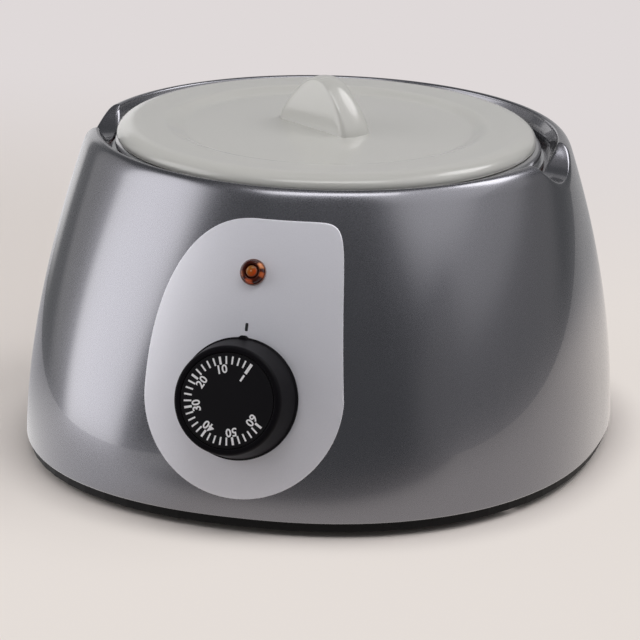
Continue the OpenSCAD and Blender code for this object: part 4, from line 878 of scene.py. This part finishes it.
class BuildLid(TankOperator, bpy.types.Operator):
    """Builds the lid with its raised ring, sunken middle and moulded pinch grip"""
    bl_idname = "melting_tank.lid"
    bl_label = "Lid"

    LID_PLACE, GRIP_PLACE = (-0.0010, 0.0004, 0.0), (-0.0020, 0.0004, 0.0)
    STEP_HALF = 0.004                       # Half the width of the step round the sunken middle
    ROLL_WIDE, ROLL_DEEP = 0.0080, 0.0050   # Rounding of the lid's border
    GRIP_ROOT = 0.0012                      # How far the grip reaches into the lid

    def build(self, scene):
        v = scene.tank_vessel
        r, top, dish, low = v.lid_radius, v.lid_top, v.lid_top - v.lid_dish, v.lid_top - 0.0059
        under, ring_r, start = dish - 0.003, 0.0758, v.dish_radius - self.STEP_HALF
        profile = [(start * s, dish + v.lid_dome * (1 - s * s)) for s in np.linspace(0.0, 1.0, 40)[:-1]]
        profile += [(start + 2 * self.STEP_HALF * s, dish + v.lid_dish * s * s * (3 - 2 * s))
                    for s in np.linspace(0.0, 1.0, 15)]
        profile += [(v.dish_radius + 0.006, top), (r - 0.012, top)]
        profile += [(r - self.ROLL_WIDE * (1 - math.cos(a)), top - self.ROLL_DEEP * (1 - math.sin(a)))
                    for a in np.linspace(math.pi / 2, 0.0, 24)]
        profile += eased([(r, low, 0.0004), (ring_r, low), (ring_r, low - 0.006, 0.0004),
                          (ring_r - 0.002, low - 0.006, 0.0004), (ring_r - 0.002, under, 0.0003)], 4)
        profile.append((0.0, under))
        plate = lathed(profile, Matrix.Translation(self.LID_PLACE), 240)
        dressed(loose("lid_plate", gathered([plate, self.grip(v, dish)])),
                gloss_plastic("lid_grey", v.lid_colour), "lid", ["lid"], 40.0)

    def grip(self, v, dish):
        """Pinch grip: a bell with two flat, leaning sides and a small fillet at its foot."""
        low, height = dish - self.GRIP_ROOT, v.grip_height + self.GRIP_ROOT
        fillet, lean, power, turns = 0.0011, 0.003, 16, around(288)
        climb = np.concatenate([np.linspace(0.0, 0.14, 22), np.linspace(0.14, 0.80, 34)[1:],
                                1.0 - 0.2 * np.cos(np.linspace(0.0, math.pi / 2, 26)[1:]) ** 2])
        rings = []
        for s in climb:
            ease = s * s * (3 - 2 * s)
            bell = v.grip_length / 2 * (1 - 0.42 * ease) * math.sqrt(max(0.0, 1 - s ** 4))
            flat = v.grip_thickness / 2 + lean * (1 - s)
            near = np.clip((height * s - self.GRIP_ROOT) / fillet, 0.0, 1.0)
            foot = fillet * (1 - math.sqrt(max(0.0, 1 - (1 - near) ** 2)))
            bell, flat = max(bell + foot, 1e-6), flat + foot
            reach = ((1.0 / bell) ** power + (np.abs(np.sin(turns)) / flat) ** power) ** (-1 / power)
            rings.append(ring(turns, reach, low + height * s))
        mesh = skin(np.array([ring(turns, 0.0, low)] + rings + [ring(turns, 0.0, low + height)]), False)
        mesh.transform(Matrix.Translation(self.GRIP_PLACE) @ Matrix.Rotation(v.grip_turn, 4, "Z"))
        return mesh


class BuildFoot(TankOperator, bpy.types.Operator):
    """Builds the rubber feet and the ribbed nut of the cable gland"""
    bl_idname = "melting_tank.foot"
    bl_label = "Feet and gland nut"

    FOOT_X, FOOT_Y = 0.0696, 0.085188

    def build(self, scene):
        stem, pad_top, plate_top = 0.003, 0.0025, 0.00605
        profile = eased([(0.0, 0.0012), (0.005, 0.0012, 0.0004), (0.0055, 0.0, 0.0005), (0.0083, 0.0, 0.0010),
                         (0.009, pad_top, 0.0004), (stem, pad_top), (stem, plate_top),
                         (0.0038, plate_top, 0.0003), (stem, 0.008, 0.0003), (0.0, 0.008)], 5)
        feet = [lathed(profile, Matrix.Translation((x, y, 0.0)), 72)
                for x in (-self.FOOT_X, self.FOOT_X) for y in (-self.FOOT_Y, self.FOOT_Y)]
        dressed(loose("foot_pads", gathered(feet)),
                moulded("foot_rubber", (0.016, 0.016, 0.017), 0.72, 900.0, 0.00004),
                "casing", ["rubber_feet"])
        bore, thread, outer, low, high = 0.0036, 0.00745, 0.0105, 0.00725, 0.0193
        nut = eased([(bore, high, 0.0003), (bore, 0.01635), (thread, 0.01635), (thread, low, 0.0002),
                     (outer, low, 0.0004), (outer, 0.0153, 0.0012), (0.0072, high, 0.0008)], 5)

        def ribs(r, z, turns):
            """Grip ribs on the nut's outside."""
            strength = 0.035 if r > 0.0096 and 0.0080 < z < 0.0150 else 0.0
            return 1.0 - strength * np.clip(np.cos(turns * 18) * 1.6, 0.0, 1.0)
        dressed(loose("gland_cap", lathed(nut, gland_place(), 288, ribs)),
                moulded("gland_black", (0.014, 0.014, 0.016), 0.42, 1600.0, 0.00001),
                "casing", ["gland_nut"])


class DressWorks(TankOperator, bpy.types.Operator):
    """Gives the CAD pieces that are carried over their finishes"""
    bl_idname = "melting_tank.works"
    bl_label = "Finishes of the works"

    def build(self, scene):
        finishes = {
            "black_plastic": moulded("base_black", (0.005, 0.005, 0.0055), 0.52, 1500.0, 0.00003, 0.0, 0.15),
            "rubber": moulded("seal_rubber", (0.018, 0.018, 0.019), 0.70, 900.0, 0.00003),
            "silicone": moulded("silicone_red", (0.12, 0.022, 0.015), 0.55, 700.0, 0.00002),
            "stainless": plain_metal("spring_steel", (0.58, 0.58, 0.60), 0.30),
            "zinc_steel": plain_metal("zinc_plate", (0.52, 0.54, 0.57), 0.36, 0.16),
            "aluminium": spun_metal("drawn_aluminium", (0.74, 0.75, 0.76), 0.34, 1700.0, 0.000008),
            "brass": plain_metal("brass", (0.66, 0.47, 0.17), 0.30),
            "copper": plain_metal("copper", (0.63, 0.27, 0.14), 0.32, 0.2),
            "wool": matted("fibre_blanket", (0.78, 0.72, 0.52)),
            "ceramic": moulded("ceramic", (0.80, 0.78, 0.72), 0.40, 600.0, 0.00003, 0.2),
            "brown_wire": sleeve("brown_sleeve", (0.12, 0.035, 0.014)),
            "blue_wire": sleeve("blue_sleeve", (0.015, 0.07, 0.36)),
            "earth_wire": sleeve("earth_sleeve", (0.05, 0.30, 0.04), (0.72, 0.62, 0.03)),
        }
        slots = {s["node"]: s["material_slot"] for s in frame["record"]["subparts"]}
        for name, obj in frame["nodes"].items():
            finish = finishes.get(slots[name])
            if finish is None:
                if not obj.hide_render:
                    raise RuntimeError("No finish for " + name)
                continue
            if not obj.material_slots:
                obj.data.materials.append(finish)
            for place in obj.material_slots:
                place.material = finish


class BuildStage(TankOperator, bpy.types.Operator):
    """Builds the floor with its curved backdrop, the lights, the world and the camera"""
    bl_idname = "melting_tank.stage"
    bl_label = "Stage"

    AIM = Vector((0.0, 0.0, 0.07))
    # Name, azimuth, elevation, distance, width, height, strength and roll of each light card
    CARDS = (
        ("left_light", -72.0, 12.0, 0.95, 0.80, 1.50, 2.5, -12.0),
        ("left_fill", -102.0, 10.0, 1.20, 0.80, 1.10, 0.45, 0.0),
        ("left_edge", -143.0, 6.0, 1.00, 0.52, 0.70, 0.9, 0.0),
        ("right_light", 88.0, 48.0, 1.30, 1.80, 1.25, 1.2, 0.0),
        ("right_soft", 97.0, 31.0, 1.40, 1.40, 1.20, 0.66, 0.0),
        ("right_fill", 95.0, 8.0, 1.60, 3.20, 1.20, 0.31, 0.0),
        ("back_light", 122.0, 47.0, 1.30, 0.60, 0.60, 5.0, 0.0),
        ("front_light", 25.0, 68.0, 1.30, 1.50, 0.45, 4.2, 0.0),
        ("top_light", 0.0, 88.0, 1.45, 1.50, 1.35, 0.3, 0.0))

    def build(self, scene):
        s = scene.tank_stage
        self.floor(s, scene.tank_casing)
        self.world(s)
        for card in self.CARDS:
            self.card(*card)
        self.camera(s)
        scene.view_settings.view_transform = "Standard"

    def floor(self, s, c):
        """Floor that curves up into a backdrop."""
        flat, bend = 0.75, 0.45
        line = [(y, 0.0) for y in np.linspace(-0.40, flat, 24)]
        line += [(flat + bend * math.sin(a), bend * (1 - math.cos(a)))
                 for a in np.linspace(0.0, math.pi / 2, 25)[1:]] + [(flat + bend, 1.3)]
        left = np.interp([y for y, z in line], (-0.4, 0.2, 1.2), (-0.24, -0.27, -0.80))
        mesh = grid("studio_floor", np.array([[(x, y, z) for x in np.linspace(start, 0.43, 12)]
                                              for start, (y, z) in zip(left, line)]))
        mesh.shade_smooth()
        mesh.materials.append(self.paper(s, c))
        loose("studio_floor", mesh)

    def paper(self, s, c):
        """Pale paper with the object's shadow, of one tone where it is far, and clear from its back."""
        p = Paint("paper_sweep")
        across, depth = p.along("X"), p.along("Y")
        paper = p.node("ShaderNodeBsdfPrincipled", None, {
            "Base Color": p.varied(s.floor_colour, 0.01, p.noise(900.0, 2.0)), "Roughness": 0.9})
        tone = p.mix(tuple(s.floor_colour), tuple(s.backdrop_colour), p.step(depth, 0.10, 0.60))
        seen, glossy, through = (p.node("ShaderNodeLightPath", out=kind)
                                 for kind in ("Is Camera Ray", "Is Glossy Ray", "Is Transmission Ray"))
        mirrored = p.clamped(glossy + through)
        # Tones that reflections see on the floor: painted light and painted shade
        white, grey, shade = (1.0, 0.98, 0.98), (0.42, 0.42, 0.45), (0.12, 0.12, 0.125)
        # Painted shade for the far back and painted light for the far left, seen only in reflections
        painted_shade_far, pale = (0.40, 0.40, 0.41), (0.85, 0.85, 0.88)
        # Painted light on the floor left of the object, turning to painted shade towards the back
        painted_side_tone = p.mix(white, grey, p.step(depth, -0.09, 0.05))
        # Painted shade on the floor before the front, seen only in reflections
        painted_mirror_tone = p.mix(p.mix(painted_side_tone, tone, p.step(across, -0.11, -0.02)), shade,
                      (1.0 - p.step(depth, -0.23, -0.17)) * p.step(across, -0.17, -0.07))
        # Painted shade on the far floor, seen only in reflections
        painted_mirror_tone = p.mix(painted_mirror_tone, painted_shade_far, p.step(depth, 0.16, 0.45))
        # Painted light on the far left floor, seen only in reflections
        painted_light_corner = ((1.0 - p.step(across, -0.25, -0.13)) * p.step(depth, 0.16, 0.34)
                  * (1.0 - p.step(depth, 0.62, 0.80)))
        painted_mirror_tone = p.mix(painted_mirror_tone, pale, painted_light_corner)
        # Camera rays see the even tone; reflections see the painted light and shade
        plain = p.node("ShaderNodeEmission", None, {"Color": p.mix(tone, painted_mirror_tone, mirrored), "Strength": 1.0})
        even = 0.85 - (1.0 - p.step(across, -0.14, 0.10)) * p.step(depth, -0.20, -0.06) * 0.60
        wide, deep = (p.math("ABSOLUTE", part / half)
                      for part, half in ((across, c.base_half_width), (depth, c.base_half_depth)))
        power = c.foot_power
        even = even * p.step((wide ** power + deep ** power) ** (1.0 / power), 0.98, 1.16)
        far = seen * (even + (1.0 - even) * p.step(depth, 0.16, 0.60)) + mirrored * 0.85
        p.node_output(p.layered(p.node("ShaderNodeNewGeometry", out="Backfacing"),
                                p.layered(far, paper, plain), p.node("ShaderNodeBsdfTransparent")))
        return p.material

    def world(self, s):
        """Dim even surroundings, which the camera sees in the backdrop's tone."""
        p = Paint("studio", bpy.data.worlds.new("studio"))
        dim, tone = (p.node("ShaderNodeBackground", None, {"Color": (*colour, 1.0), "Strength": strength})
                     for colour, strength in (((0.95, 0.97, 1.0), 0.16), (s.backdrop_colour, 1.0)))
        seen = p.node("ShaderNodeLightPath", out="Is Camera Ray")
        p.node_output(p.layered(seen, dim, tone), "ShaderNodeOutputWorld")
        bpy.context.scene.world = p.material

    def card(self, name, azimuth, elevation, distance, width, height, strength, roll):
        """A soft light card that faces the object and fades out at its edges."""
        a, e = math.radians(azimuth), math.radians(elevation)
        centre = self.outward(a, e) * distance + self.AIM
        steps = np.linspace(-0.5, 0.5, 9)
        mesh = grid(name, np.array([[(x * width, y * height, 0.0) for x in steps] for y in steps]))
        p = Paint(name)
        across, along = p.along("X") / (width / 2), p.along("Y") / (height / 2)
        fall = (1.0 - p.clamped(across * across)) * (1.0 - p.clamped(along * along))
        light = p.node("ShaderNodeEmission", None, {"Color": (1.0, 0.985, 0.99, 1.0), "Strength": strength})
        p.node_output(p.layered(p.step(fall, 0.0, 0.55), p.node("ShaderNodeBsdfTransparent"), light))
        mesh.materials.append(p.material)
        card = loose(name, mesh)
        facing = (self.AIM - centre).to_track_quat("-Z", "Y").to_matrix().to_4x4()
        card.matrix_world = Matrix.Translation(centre) @ facing @ Matrix.Rotation(math.radians(roll), 4, "Z")
        card.visible_camera = False

    def outward(self, a, e):
        """Direction from the object at an azimuth and an elevation."""
        return Vector((math.sin(a) * math.cos(e), -math.cos(a) * math.cos(e), math.sin(e)))

    def camera(self, s):
        """Camera at the fitted viewing angle."""
        back = self.outward(s.azimuth, s.elevation)
        right = Vector((math.cos(s.azimuth), math.sin(s.azimuth), 0.0))
        up = back.cross(right)
        focal, off_x, off_y, sensor = 4049.11, -4.998, 41.628, 36.0
        u = math.cos(s.roll) * off_x + math.sin(s.roll) * off_y
        v = -math.sin(s.roll) * off_x + math.cos(s.roll) * off_y
        forward = (right * (u / focal) - up * (v / focal) - back).normalized()
        side = right * math.cos(s.roll) + up * math.sin(s.roll)
        side = (side - forward * side.dot(forward)).normalized()
        high = side.cross(forward)
        data = bpy.data.cameras.new("camera")
        data.sensor_width, data.lens = sensor, sensor * focal / IMAGE_SIZE
        data.clip_start, data.clip_end = 0.05, 20.0
        camera = loose("camera", data)
        place = Vector((0.0, 0.0, 0.066)) + back * s.distance
        camera.matrix_world = Matrix((
            (side.x, high.x, -forward.x, place.x), (side.y, high.y, -forward.y, place.y),
            (side.z, high.z, -forward.z, place.z), (0.0, 0.0, 0.0, 1.0)))
        bpy.context.scene.camera = camera


OPERATORS = (BuildStage, BuildCasing, BuildLabel, BuildKnob, BuildLamp, BuildVessel, BuildLid,
             BuildFoot, DressWorks)


class TankPanel(bpy.types.Panel):
    """Lists the sizes, the colours and the pieces"""
    bl_idname = "VIEW3D_PT_melting_tank"
    bl_label = "Melting tank"
    bl_space_type = "VIEW_3D"
    bl_region_type = "UI"
    bl_category = "Melting tank"

    def draw(self, context):
        for name, group in GROUPS.items():
            box = self.layout.box()
            box.label(text=group.__name__.replace("Settings", ""))
            for key in group.__annotations__:
                box.prop(getattr(context.scene, name), key)
        for operator in OPERATORS:
            self.layout.operator(operator.bl_idname)


CLASSES = (*GROUPS.values(), *OPERATORS, TankPanel)


def register():
    """Makes the classes and the groups of settings known to Blender."""
    for item in CLASSES:
        bpy.utils.register_class(item)
    for name, group in GROUPS.items():
        setattr(bpy.types.Scene, name, bpy.props.PointerProperty(type=group))


def unregister():
    """Takes the classes and the groups of settings out again."""
    for name in GROUPS:
        delattr(bpy.types.Scene, name)
    for item in reversed(CLASSES):
        bpy.utils.unregister_class(item)


def main():
    """Builds all pieces and the stage."""
    register()
    for operator in OPERATORS:
        getattr(bpy.ops.melting_tank, operator.bl_idname.split(".")[1])()


if __name__ == "__main__":
    main()
